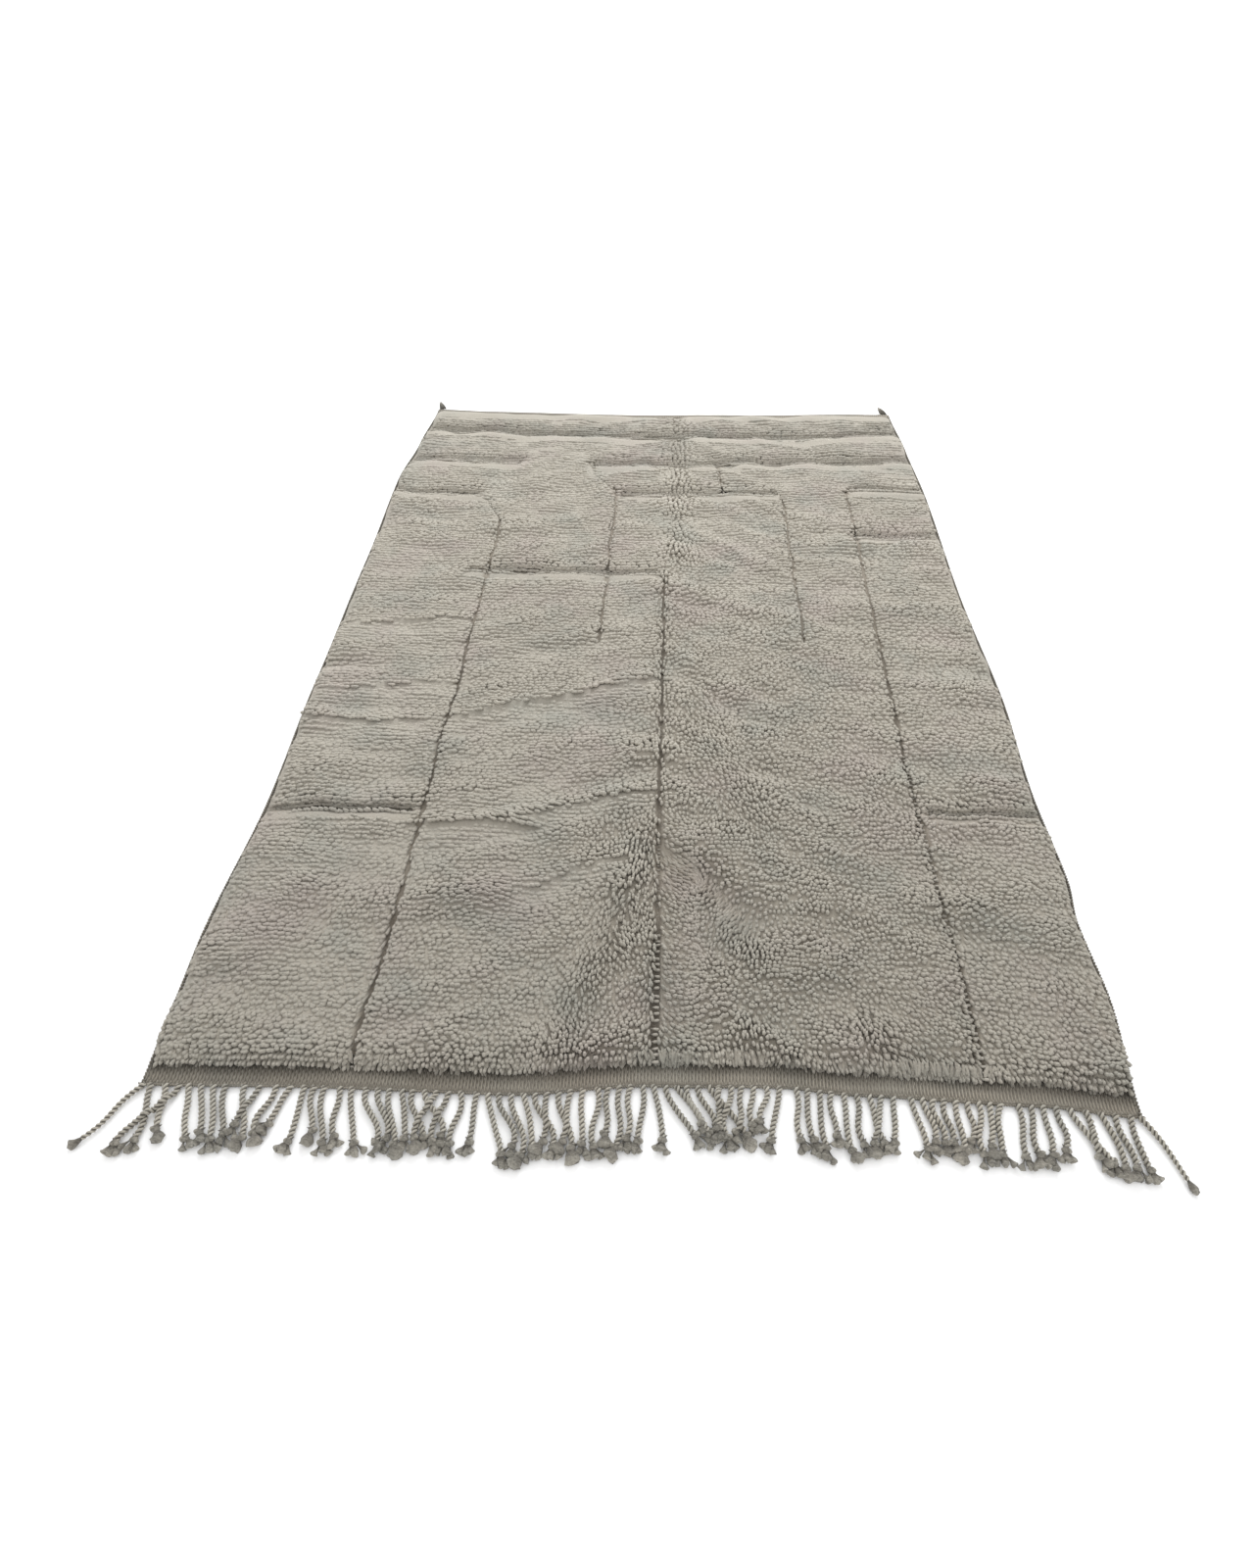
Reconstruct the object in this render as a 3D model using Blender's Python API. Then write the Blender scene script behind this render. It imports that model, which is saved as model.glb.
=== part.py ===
"""Hand-knotted wool rug with a deep pile, lying flat: the rug, its near-end fringe and its far corner tufts.

Metres, +Z up. The origin is on the underside, at the middle of the rug. +X runs across the width and
+Y along the length, from the fringed near end to the plain far end.
"""

import math
from collections import namedtuple

import bmesh
import bpy
from mathutils import Vector, noise

# Driving dimensions of the rug
RUG_WIDTH = 1.600
RUG_LENGTH = 2.480
PILE_TOP = 0.024
CLOTH_THICKNESS = 0.0045
GAP = 0.0003

# The pile stops short of both ends, which are bare flat weave
NEAR_BAND = 0.036
FAR_HEM = 0.018

# The rounded rim of the pile: how far in it starts to fall, its shoulder, and its widest line, whose locks
# stand in and out by turns. At the sides the pile hangs over the foot of the cloth, and at the ends over the
# bare weave.
RIM_ROUND = 0.016
SHOULDER_INSET = 0.004
SHOULDER_SHARE = 0.80
RIM_SHARE = 0.50
LOCK_REACH = 0.007
FOOT_INSET = 0.006
END_OVERHANG = 0.006

# Spacing of the plain part of the surface grid, and its soft lumps
LENGTH_STEP = 0.056
WIDTH_STEP = 0.056
LUMP_RISE = 0.0055
LUMP_SIZE = 0.105

# How far each groove's sloping wall reaches in from its lip
WALL_REACH = 0.005

# The near end's twisted cords: a woven strip carries their roots
STRIP_DEPTH = 0.005
CORD_WIDTH = 0.0068
CORD_HEIGHT = 0.0064
KNOT_WIDTH = 0.0104
KNOT_HEIGHT = 0.0104
STAGGER = 0.018

# The far corners end in a short thick tuft, set in from the side and leaning out
TUFT_LENGTH = 0.052
TUFT_WIDTH = 0.024
TUFT_HEIGHT = 0.013
TUFT_INSET = 0.014
TUFT_LEAN = 0.006
TUFT_SIDES = 6

# How far each side bows out from the straight rectangle, by place along the length
Bow = namedtuple("Bow", "along out")
LEFT_SIDE = [
    Bow(-1.250, -0.006),
    Bow(-1.110, -0.001),
    Bow(-0.970, 0.003),
    Bow(-0.640, -0.012),
    Bow(-0.270, -0.002),
    Bow(0.260, 0.006),
    Bow(0.740, 0.018),
    Bow(0.980, 0.000),
    Bow(1.230, -0.014),
]
RIGHT_SIDE = [
    Bow(-1.240, -0.004),
    Bow(-1.030, 0.015),
    Bow(-0.880, 0.008),
    Bow(-0.780, 0.019),
    Bow(-0.560, 0.013),
    Bow(-0.250, 0.026),
    Bow(0.150, 0.017),
    Bow(0.700, 0.026),
    Bow(1.000, 0.018),
    Bow(1.240, 0.006),
]

# How far each end stands off its straight line, towards +Y, by place across the width
NEAR_END = [
    Bow(-0.800, -0.013),
    Bow(-0.480, -0.006),
    Bow(-0.220, -0.006),
    Bow(0.040, 0.018),
    Bow(0.230, 0.024),
    Bow(0.360, 0.016),
    Bow(0.640, 0.010),
    Bow(0.800, -0.001),
]
FAR_END = [
    Bow(-0.800, -0.002),
    Bow(-0.620, -0.012),
    Bow(-0.150, -0.020),
    Bow(0.300, -0.004),
    Bow(0.700, 0.018),
    Bow(0.810, 0.018),
]

# A groove is a line without knots. Its places are points along it, and its runs the stretches where it is open.
Groove = namedtuple("Groove", "places width depth runs")
LENGTHWISE = [
    Groove(
        [(-1.26, -0.466), (-1.00, -0.457), (0.48, -0.455), (0.635, -0.524), (1.26, -0.500)],
        0.018, 0.015, [(-1.23, 0.64)],
    ),
    Groove(
        [(-1.26, -0.132), (-0.09, -0.132), (0.24, -0.126), (0.655, -0.125), (0.845, -0.222), (1.26, -0.235)],
        0.016, 0.012, [(-0.09, 0.85)],
    ),
    Groove([(-1.26, 0.029), (1.26, 0.029)], 0.020, 0.016, [(-1.23, 0.23)]),
    Groove([(-1.26, 0.192), (0.67, 0.206), (0.85, 0.190), (1.26, 0.186)], 0.014, 0.009, [(0.66, 0.86)]),
    Groove([(-1.26, 0.376), (1.26, 0.386)], 0.016, 0.012, [(-0.07, 0.67)]),
    Groove(
        [(-1.26, 0.562), (-0.50, 0.558), (0.16, 0.571), (0.64, 0.582), (1.26, 0.590)],
        0.018, 0.015, [(-1.23, 0.71)],
    ),
]
CROSSWISE = [
    Groove(
        [(-0.83, -0.664), (-0.46, -0.657), (-0.41, -0.712), (-0.22, -0.702), (0.03, -0.640), (0.83, -0.618)],
        0.026, 0.016, [(-0.83, -0.22), (0.56, 0.84)],
    ),
    Groove([(-0.83, 0.218), (0.03, 0.224), (0.83, 0.216)], 0.022, 0.015, [(-0.53, 0.03)]),
    Groove([(-0.83, 0.420), (0.55, 0.433), (0.83, 0.450)], 0.024, 0.015, [(0.55, 0.84)]),
    Groove(
        [
            (-0.83, 0.660), (-0.76, 0.634), (-0.52, 0.632), (-0.12, 0.650),
            (0.38, 0.670), (0.62, 0.705), (0.83, 0.702),
        ],
        0.030, 0.017, [(-0.83, -0.52), (-0.13, 0.39), (0.58, 0.84)],
    ),
    Groove(
        [(-0.83, 0.862), (-0.72, 0.848), (0.00, 0.838), (0.83, 0.894)],
        0.026, 0.016, [(-0.83, -0.42), (-0.23, 0.84)],
    ),
    Groove(
        [(-0.83, 1.084), (-0.67, 1.056), (-0.10, 1.022), (0.05, 1.042), (0.50, 1.046), (0.83, 1.088)],
        0.026, 0.015, [(-0.83, 0.84)],
    ),
]

# Soft folds and hollows of the pile, each along a straight stretch
Fold = namedtuple("Fold", "x1 y1 x2 y2 rise reach")
FOLDS = [
    Fold(-0.45, -0.375, -0.02, -0.212, 0.0042, 0.026),
    Fold(-0.27, -0.108, -0.08, -0.060, 0.0030, 0.024),
    Fold(-0.79, -0.392, -0.56, -0.400, 0.0038, 0.026),
    Fold(-0.79, -0.305, -0.52, -0.250, 0.0026, 0.024),
    Fold(-0.23, -0.636, 0.00, -0.566, 0.0032, 0.024),
    Fold(-0.75, -0.040, -0.47, -0.012, 0.0022, 0.026),
    Fold(-0.45, 0.408, -0.33, 0.424, 0.0028, 0.022),
    Fold(0.08, -0.250, 0.30, -0.400, 0.0026, 0.034),
    Fold(0.09, 0.370, 0.23, 0.270, 0.0024, 0.032),
    Fold(0.06, 0.300, 0.06, 1.190, -0.0030, 0.026),
    Fold(-0.03, -0.780, -0.17, -1.190, -0.0030, 0.040),
]

# The fringe hangs in bunches. The lean shifts a bunch's ends sideways and the spread widens or gathers them.
Bunch = namedtuple("Bunch", "cords first last lean spread length")
BUNCHES = [
    Bunch(1, -0.789, -0.789, -0.066, 1.00, 0.088),
    Bunch(3, -0.779, -0.733, -0.013, 1.20, 0.088),
    Bunch(4, -0.718, -0.658, 0.025, 0.92, 0.086),
    Bunch(4, -0.628, -0.552, -0.006, 0.70, 0.076),
    Bunch(2, -0.531, -0.514, 0.008, 1.80, 0.086),
    Bunch(2, -0.498, -0.474, 0.016, 0.60, 0.088),
    Bunch(1, -0.454, -0.454, 0.024, 1.00, 0.084),
    Bunch(9, -0.430, -0.279, 0.016, 0.74, 0.080),
    Bunch(1, -0.252, -0.252, 0.000, 1.00, 0.076),
    Bunch(9, -0.235, -0.083, 0.020, 0.80, 0.088),
    Bunch(5, -0.060, 0.012, -0.003, 0.95, 0.090),
    Bunch(1, 0.030, 0.030, 0.016, 1.00, 0.088),
    Bunch(11, 0.047, 0.239, 0.004, 0.64, 0.074),
    Bunch(5, 0.258, 0.334, 0.001, 1.00, 0.084),
    Bunch(4, 0.354, 0.412, -0.004, 0.80, 0.078),
    Bunch(9, 0.440, 0.581, -0.002, 0.80, 0.074),
    Bunch(4, 0.607, 0.667, -0.006, 1.05, 0.080),
    Bunch(5, 0.687, 0.780, 0.012, 0.74, 0.084),
    Bunch(1, 0.793, 0.793, 0.040, 1.00, 0.092),
]

# The outline of a cord from its root to its end: share of its length, then width and height as shares of the
# plain cord's size or of its knot's. The two outermost cords end in a thin tail.
Station = namedtuple("Station", "share width height")
PLAIN_CORD = [Station(0.12, 1.00, 1.00), Station(0.45, 1.00, 1.00), Station(0.80, 1.00, 1.00)]
THIN_TAIL = [Station(1.10, 0.70, 0.60)]
KNOTTED_END = [
    Station(0.88, 0.95, 0.95),
    Station(0.95, 0.72, 0.78),
    Station(1.02, 1.00, 1.00),
    Station(1.10, 0.62, 0.55),
]

# The outline of a corner tuft, from the hem to its tip
TUFT_OUTLINE = [
    Station(0.00, 0.70, 0.35),
    Station(0.25, 1.00, 1.00),
    Station(0.60, 0.80, 0.95),
    Station(1.00, 0.25, 0.55),
]

PILE_COLOUR = (0.50, 0.47, 0.41, 1.0)
CORD_COLOUR = (0.42, 0.40, 0.35, 1.0)
WOOL_ROUGHNESS = 0.92


def clear_scene():
    for item in list(bpy.data.objects):
        bpy.data.objects.remove(item, do_unlink=True)


def wool(name, colour):
    """An undyed wool finish."""
    material = bpy.data.materials.new(name)
    material.use_nodes = True
    shader = material.node_tree.nodes["Principled BSDF"]
    shader.inputs["Base Color"].default_value = colour
    shader.inputs["Roughness"].default_value = WOOL_ROUGHNESS
    shader.inputs["Metallic"].default_value = 0.0
    return material


def add_object(name, mesh_tool, material, smooth_angle=60.0):
    """Turns a finished bmesh into a named object with outward faces."""
    bmesh.ops.recalc_face_normals(mesh_tool, faces=mesh_tool.faces[:])
    mesh = bpy.data.meshes.new(name)
    mesh_tool.to_mesh(mesh)
    mesh_tool.free()
    mesh.shade_smooth()
    mesh.set_sharp_from_angle(angle=math.radians(smooth_angle))
    mesh.materials.append(material)
    thing = bpy.data.objects.new(name, mesh)
    bpy.context.scene.collection.objects.link(thing)
    return thing


def eased(share):
    """A share from 0 to 1 that starts and ends gently."""
    share = min(max(share, 0.0), 1.0)
    return share * share * (3.0 - 2.0 * share)


def follow(table, at, gentle=False):
    """The second column of a table at a value of its first one."""
    for before, after in zip(table, table[1:]):
        if at <= after[0]:
            share = max(at - before[0], 0.0) / (after[0] - before[0])
            if gentle:
                share = eased(share)
            return before[1] + (after[1] - before[1]) * share
    return table[-1][1]


def side(at, sign):
    """The x of the left (-1) or right (+1) side of the cloth at a place along the length."""
    table = LEFT_SIDE if sign < 0 else RIGHT_SIDE
    return sign * (RUG_WIDTH / 2 + follow(table, at, gentle=True))


def near_end(at):
    """The y of the woven near end, where the fringe's strip begins, at a place across the width."""
    return -RUG_LENGTH / 2 + follow(NEAR_END, at, gentle=True)


def far_end(at):
    return RUG_LENGTH / 2 + follow(FAR_END, at, gentle=True)


def fold_rise(x, y):
    """How much the soft folds lift or sink the pile at a point."""
    rise = 0.0
    for fold in FOLDS:
        start = Vector((fold.x1, fold.y1))
        run = Vector((fold.x2, fold.y2)) - start
        share = min(max((Vector((x, y)) - start).dot(run) / run.length_squared, 0.0), 1.0)
        away = (Vector((x, y)) - start - run * share).length
        rise += fold.rise * math.exp(-((away / fold.reach) ** 2))
    return rise


def pile_height(x, y):
    """The height of the pile's lumpy surface, grooves left out."""
    lumps = noise.noise(Vector((x / LUMP_SIZE, y / LUMP_SIZE, 0.0)))
    return PILE_TOP + LUMP_RISE * lumps + fold_rise(x, y)


# One line of the surface grid: where it runs, the groove it belongs to, if any, whether it lies on that
# groove's floor, and its part of the cloth.
Line = namedtuple("Line", "place groove floor part")


def beside(curve, offset):
    return lambda at: curve(at) + offset


def between(first, last, share):
    return lambda at: first(at) + (last(at) - first(at)) * share


def fill(first, last, step):
    """Plain lines between two others, about a step apart."""
    count = max(round((last(0.0) - first(0.0)) / step), 1)
    return [Line(between(first, last, i / count), None, False, "pile") for i in range(1, count)]


def grid_lines(low_edge, grooves, high_edge, step):
    """The lines from one edge of the pile to the other: four for each groove and plain ones between."""
    lines = []
    last = low_edge
    for groove in grooves:
        middle = lambda at, places=groove.places: follow(places, at)
        half = groove.width / 2
        lips = [beside(middle, -half), beside(middle, half)]
        floors = [beside(middle, WALL_REACH - half), beside(middle, half - WALL_REACH)]
        lines += fill(last, lips[0], step)
        lines.append(Line(lips[0], groove, False, "pile"))
        lines.append(Line(floors[0], groove, True, "pile"))
        lines.append(Line(floors[1], groove, True, "pile"))
        lines.append(Line(lips[1], groove, False, "pile"))
        last = lips[1]
    return lines + fill(last, high_edge, step)


def lengthwise_lines():
    """The grid lines that run along the rug, from its left side to its right one."""
    left = lambda at: side(at, -1)
    right = lambda at: side(at, 1)
    inner_left = beside(left, RIM_ROUND)
    inner_right = beside(right, -RIM_ROUND)
    return [
        Line(left, None, False, "rim"),
        Line(beside(left, SHOULDER_INSET), None, False, "shoulder"),
        Line(inner_left, None, False, "pile"),
        *grid_lines(inner_left, LENGTHWISE, inner_right, WIDTH_STEP),
        Line(inner_right, None, False, "pile"),
        Line(beside(right, -SHOULDER_INSET), None, False, "shoulder"),
        Line(right, None, False, "rim"),
    ]


def crosswise_lines():
    """The grid lines that run across the rug, from its near end to its far one."""
    near_pile = beside(near_end, NEAR_BAND)
    far_pile = beside(far_end, -FAR_HEM)
    inner_near = beside(near_pile, RIM_ROUND)
    inner_far = beside(far_pile, -RIM_ROUND)
    return [
        Line(near_end, None, False, "band"),
        Line(near_pile, None, False, "band"),
        Line(beside(near_pile, -END_OVERHANG), None, False, "rim"),
        Line(beside(near_pile, SHOULDER_INSET - END_OVERHANG), None, False, "shoulder"),
        Line(inner_near, None, False, "pile"),
        *grid_lines(inner_near, CROSSWISE, inner_far, LENGTH_STEP),
        Line(inner_far, None, False, "pile"),
        Line(beside(far_pile, END_OVERHANG - SHOULDER_INSET), None, False, "shoulder"),
        Line(beside(far_pile, END_OVERHANG), None, False, "rim"),
        Line(far_pile, None, False, "band"),
        Line(far_end, None, False, "band"),
    ]


def groove_depth(line, at):
    """How deep a grid line lies in its groove at a place along it."""
    if line.groove is None or not line.floor:
        return 0.0
    opened = any(start <= at <= end for start, end in line.groove.runs)
    return line.groove.depth if opened else 0.0


def crossing(along, across):
    """The point where a lengthwise and a crosswise line meet."""
    x = along.place(0.0)
    for _ in range(4):
        y = across.place(x)
        x = along.place(y)
    return x, y


def surface_height(along, across, x, y):
    """The top of the cloth at a crossing: bare weave, the pile's rounded rim, or pile less any groove."""
    if across.part == "band":
        return CLOTH_THICKNESS
    parts = {along.part, across.part}
    full = pile_height(x, y) - max(groove_depth(along, y), groove_depth(across, x))
    if "rim" in parts:
        return max(RIM_SHARE * full, CLOTH_THICKNESS + GAP)
    if "shoulder" in parts:
        return max(SHOULDER_SHARE * full, CLOTH_THICKNESS + 2 * GAP)
    return full


def rug_body():
    """One solid: the woven cloth, its bare ends and the lumpy pile with its grooves and rim locks."""
    mesh_tool = bmesh.new()
    columns = lengthwise_lines()
    rows = crosswise_lines()
    grid = []
    for j, across in enumerate(rows):
        row = []
        for i, along in enumerate(columns):
            x, y = crossing(along, across)
            z = surface_height(along, across, x, y)
            if across.part == "rim":
                y += LOCK_REACH / 2 * (-1) ** i
            elif along.part == "rim" and across.part != "band":
                x += LOCK_REACH / 2 * (-1) ** j
            row.append(mesh_tool.verts.new((x, y, z)))
        grid.append(row)
    for lower, upper in zip(grid, grid[1:]):
        for i in range(len(columns) - 1):
            mesh_tool.faces.new((lower[i], lower[i + 1], upper[i + 1], upper[i]))

    # The rim runs down to the foot of the cloth, a little inside it, all round
    ring = grid[0][:] + [row[-1] for row in grid[1:-1]] + grid[-1][::-1] + [row[0] for row in grid[-2:0:-1]]
    foot = []
    for corner in ring:
        x, y, z = corner.co
        inset = FOOT_INSET if z > CLOTH_THICKNESS else 0.0
        foot.append(mesh_tool.verts.new((x - math.copysign(inset, x), y, 0.0)))
    for i, upper in enumerate(ring):
        after = (i + 1) % len(ring)
        mesh_tool.faces.new((upper, foot[i], foot[after], ring[after]))
    mesh_tool.faces.new(foot[::-1])
    return add_object("rug", mesh_tool, wool("pile_wool", PILE_COLOUR))


def cord_table():
    """Each cord's root and end, both as places across the width, and its length."""
    cords = []
    for bunch in BUNCHES:
        middle = (bunch.first + bunch.last) / 2
        pitch = (bunch.last - bunch.first) / max(bunch.cords - 1, 1)
        for i in range(bunch.cords):
            root = bunch.first + pitch * i
            tip = middle + bunch.lean + (root - middle) * bunch.spread
            length = bunch.length - STAGGER * (i % 2)
            cords.append((root, tip, length))
    return cords


def sized(stations, width, height):
    return [Station(at.share, at.width * width, at.height * height) for at in stations]


def fringe():
    """The woven strip and its twisted cords, each ending in a knot and a tuft. All of it lies on the floor."""
    mesh_tool = bmesh.new()
    cords = cord_table()
    cloth_edge = [crossing(along, crosswise_lines()[0]) for along in lengthwise_lines()]

    def strip_section(x):
        """The strip's four corners at a place across the width: back top, back foot, front foot, front top."""
        back = follow(cloth_edge, x) - GAP
        front = back - STRIP_DEPTH
        corners = [(back, CLOTH_THICKNESS), (back, 0.0), (front, 0.0), (front, CLOTH_THICKNESS)]
        return [mesh_tool.verts.new((x, y, z)) for y, z in corners]

    # Sections at both edges of every cord's root, and at the strip's two ends
    sections = [strip_section(cloth_edge[0][0])]
    for root, _, _ in cords:
        sections.append(strip_section(root - CORD_WIDTH / 2))
        sections.append(strip_section(root + CORD_WIDTH / 2))
    sections.append(strip_section(cloth_edge[-1][0]))
    for k, (one, other) in enumerate(zip(sections, sections[1:])):
        for i in range(4):
            after = (i + 1) % 4
            is_root = i == 2 and k % 2 == 1
            if not is_root:
                mesh_tool.faces.new((one[i], one[after], other[after], other[i]))
    mesh_tool.faces.new(sections[0])
    mesh_tool.faces.new(sections[-1][::-1])

    for k, (root, tip, length) in enumerate(cords):
        one, other = sections[1 + 2 * k], sections[2 + 2 * k]
        ring = [one[3], one[2], other[2], other[3]]
        start = follow(cloth_edge, root) - GAP - STRIP_DEPTH
        if k in (0, len(cords) - 1):
            outline = sized(PLAIN_CORD + THIN_TAIL, CORD_WIDTH, CORD_HEIGHT)
        else:
            outline = sized(PLAIN_CORD, CORD_WIDTH, CORD_HEIGHT) + sized(KNOTTED_END, KNOT_WIDTH, KNOT_HEIGHT)
        for share, width, height in outline:
            middle = root + (tip - root) * eased(share)
            y = start - length * share
            places = [(-0.5, height), (-0.5, 0.0), (0.5, 0.0), (0.5, height)]
            new_ring = [mesh_tool.verts.new((middle + width * at, y, z)) for at, z in places]
            for i in range(4):
                after = (i + 1) % 4
                mesh_tool.faces.new((ring[i], ring[after], new_ring[after], new_ring[i]))
            ring = new_ring
        mesh_tool.faces.new(ring)
    return add_object("fringe", mesh_tool, wool("cord_wool", CORD_COLOUR), smooth_angle=50.0)


def corner_tuft(name, sign):
    """The thick tuft of warp ends that closes a far corner. It lies on the floor, past the hem."""
    mesh_tool = bmesh.new()
    x = side(far_end(sign * RUG_WIDTH / 2), sign) - sign * TUFT_INSET
    start = max(far_end(x - TUFT_WIDTH / 2), far_end(x + TUFT_WIDTH / 2)) + GAP
    ring = None
    for share, width, height in sized(TUFT_OUTLINE, TUFT_WIDTH, TUFT_HEIGHT):
        middle = x + sign * TUFT_LEAN * share
        new_ring = []
        for i in range(TUFT_SIDES):
            turn = math.tau * i / TUFT_SIDES
            across = math.cos(turn) * width / 2
            up = max(math.sin(turn), 0.0) * height
            new_ring.append(mesh_tool.verts.new((middle + across, start + TUFT_LENGTH * share, up)))
        if ring:
            for i in range(TUFT_SIDES):
                after = (i + 1) % TUFT_SIDES
                mesh_tool.faces.new((ring[i], ring[after], new_ring[after], new_ring[i]))
        else:
            mesh_tool.faces.new(new_ring)
        ring = new_ring
    mesh_tool.faces.new(ring[::-1])
    return add_object(name, mesh_tool, bpy.data.materials["cord_wool"], smooth_angle=50.0)


clear_scene()
rug_body()
fringe()
corner_tuft("corner_tuft_left", -1)
corner_tuft("corner_tuft_right", 1)
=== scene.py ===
"""Looks of a hand-knotted wool rug: ground cloth, deep pile, woven ends, selvedges, fringe and corner tufts.

Metres, +Z up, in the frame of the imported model: the origin is on the underside at the middle of the rug,
+X runs across the width and +Y along the length, from the fringed near end to the plain far end.
"""

import math
import random
from collections import namedtuple

import bmesh
import bpy
import numpy as np
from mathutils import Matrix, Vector, noise


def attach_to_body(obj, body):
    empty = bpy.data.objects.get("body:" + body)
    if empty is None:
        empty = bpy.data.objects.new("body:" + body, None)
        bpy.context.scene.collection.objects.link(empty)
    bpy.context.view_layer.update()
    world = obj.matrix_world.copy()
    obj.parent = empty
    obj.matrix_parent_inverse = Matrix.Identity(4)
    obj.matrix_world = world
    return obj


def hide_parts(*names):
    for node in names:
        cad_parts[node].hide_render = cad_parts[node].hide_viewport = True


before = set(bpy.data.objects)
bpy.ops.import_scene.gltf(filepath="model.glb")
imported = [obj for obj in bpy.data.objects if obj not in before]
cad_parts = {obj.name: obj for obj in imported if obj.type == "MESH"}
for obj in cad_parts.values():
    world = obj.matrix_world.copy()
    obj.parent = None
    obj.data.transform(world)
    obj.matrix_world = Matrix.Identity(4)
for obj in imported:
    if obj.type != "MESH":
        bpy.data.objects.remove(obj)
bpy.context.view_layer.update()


# The camera: it stands just before the near end, at chest height, and looks down along the whole rug, with
# the near cords at its feet and the far end close to the top of the picture.
CAMERA_PLACE = (0.0124, -1.8281, 1.3587)
CAMERA_TILT = 43.088
CAMERA_TURN = 2.40
CAMERA_LENS = 19.955
SENSOR_HEIGHT = 36.0

camera_data = bpy.data.cameras.new("camera")
camera_data.sensor_fit = "VERTICAL"
camera_data.sensor_height = SENSOR_HEIGHT
camera_data.lens = CAMERA_LENS
camera_data.clip_end = 200.0
camera = bpy.data.objects.new("camera", camera_data)
camera.location = CAMERA_PLACE
camera.rotation_euler = (math.radians(CAMERA_TILT), 0.0, math.radians(CAMERA_TURN))
bpy.context.scene.collection.objects.link(camera)
bpy.context.scene.camera = camera


# The ground cloth: one length of close weft-faced wool weave, 4 mm thick, into which every tuft is knotted.
# It shows in the grooves, at both ends and underneath, where each row of knots stands out as a row of small
# bumps.
RUG_WIDTH = 1.600
RUG_LENGTH = 2.480
CLOTH_TOP = 0.0042
CLOTH_FOOT = 0.0005
CLOTH_EDGE = 0.0022
CLOTH_INSET = 0.003
CLOTH_COLUMNS = 46
CLOTH_ROWS = 70
CLOTH_SWELL = 0.0004
CLOTH_WAVES = 9.0
CLOTH_FIBRE = 0.0015
CLOTH_RELIEF = 0.0015
KNOT_ROW = 0.0115
KNOT_PITCH = 0.0088
# The cloth's colour, and the colour of the painted shade between its rows of knots
CLOTH_COLOUR = (0.36, 0.33, 0.28, 1.0)
CLOTH_SHADE = (0.22, 0.198, 0.165, 1.0)

# How far each side bows out from the straight rectangle, by place along the length
Bow = namedtuple("Bow", "along out")
LEFT_SIDE = [
    Bow(-1.250, -0.006),
    Bow(-1.110, -0.001),
    Bow(-0.970, 0.003),
    Bow(-0.640, -0.012),
    Bow(-0.270, -0.002),
    Bow(0.260, 0.006),
    Bow(0.740, 0.018),
    Bow(0.980, 0.000),
    Bow(1.230, -0.014),
]
RIGHT_SIDE = [
    Bow(-1.240, -0.004),
    Bow(-1.030, 0.015),
    Bow(-0.880, 0.008),
    Bow(-0.780, 0.019),
    Bow(-0.560, 0.013),
    Bow(-0.250, 0.026),
    Bow(0.150, 0.017),
    Bow(0.700, 0.026),
    Bow(1.000, 0.018),
    Bow(1.240, 0.006),
]

# How far each end stands off its straight line, towards +Y, by place across the width
NEAR_END = [
    Bow(-0.800, -0.013),
    Bow(-0.480, -0.006),
    Bow(-0.220, -0.006),
    Bow(0.040, 0.018),
    Bow(0.230, 0.024),
    Bow(0.360, 0.016),
    Bow(0.640, 0.010),
    Bow(0.800, -0.001),
]
FAR_END = [
    Bow(-0.800, -0.002),
    Bow(-0.620, -0.012),
    Bow(-0.150, -0.020),
    Bow(0.300, -0.004),
    Bow(0.700, 0.018),
    Bow(0.810, 0.018),
]


def eased(share):
    """A share from 0 to 1 that starts and ends gently."""
    share = min(max(share, 0.0), 1.0)
    return share * share * (3.0 - 2.0 * share)


def mixed(first, last, share):
    return first + (last - first) * share


def follow(table, at, gentle=False):
    """The second column of a table at a value of its first one."""
    for before, after in zip(table, table[1:]):
        if at <= after[0]:
            share = max(at - before[0], 0.0) / (after[0] - before[0])
            if gentle:
                share = eased(share)
            return before[1] + (after[1] - before[1]) * share
    return table[-1][1]


def patchy(x, y, layer):
    """Smooth noise between -1 and 1. Each use of it has a layer of its own."""
    return noise.noise(Vector((x, y, layer)))


def side(at, sign):
    """The x of the left (-1) or right (+1) side at a place along the length."""
    table = LEFT_SIDE if sign < 0 else RIGHT_SIDE
    return sign * (RUG_WIDTH / 2 + follow(table, at, gentle=True))


def near_end(at):
    return -RUG_LENGTH / 2 + follow(NEAR_END, at, gentle=True)


def far_end(at):
    return RUG_LENGTH / 2 + follow(FAR_END, at, gentle=True)


def new_group(kind, name, inputs, outputs):
    """A node group with named sockets, each given by name, socket type and, for an input, first value."""
    group = bpy.data.node_groups.new(name, kind)
    for label, socket_type, default in inputs:
        socket = group.interface.new_socket(label, in_out="INPUT", socket_type=socket_type)
        if default is not None:
            socket.default_value = default
    for label, socket_type in outputs:
        group.interface.new_socket(label, in_out="OUTPUT", socket_type=socket_type)
    return group, group.nodes.new("NodeGroupInput"), group.nodes.new("NodeGroupOutput")


def put(tree, kind, settings=(), inputs=()):
    """Adds a node, sets its options, and feeds its inputs with values or with other nodes' sockets."""
    node = tree.nodes.new(kind)
    for key, value in dict(settings).items():
        setattr(node, key, value)
    for key, value in dict(inputs).items():
        if isinstance(value, bpy.types.NodeSocket):
            tree.links.new(value, node.inputs[key])
        else:
            node.inputs[key].default_value = value
    return node


def reckon(tree, operation, first, second=0.0, third=0.0):
    """The result of one arithmetic step in a node tree."""
    inputs = {0: first, 1: second, 2: third}
    return put(tree, "ShaderNodeMath", {"operation": operation}, inputs).outputs[0]


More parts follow.
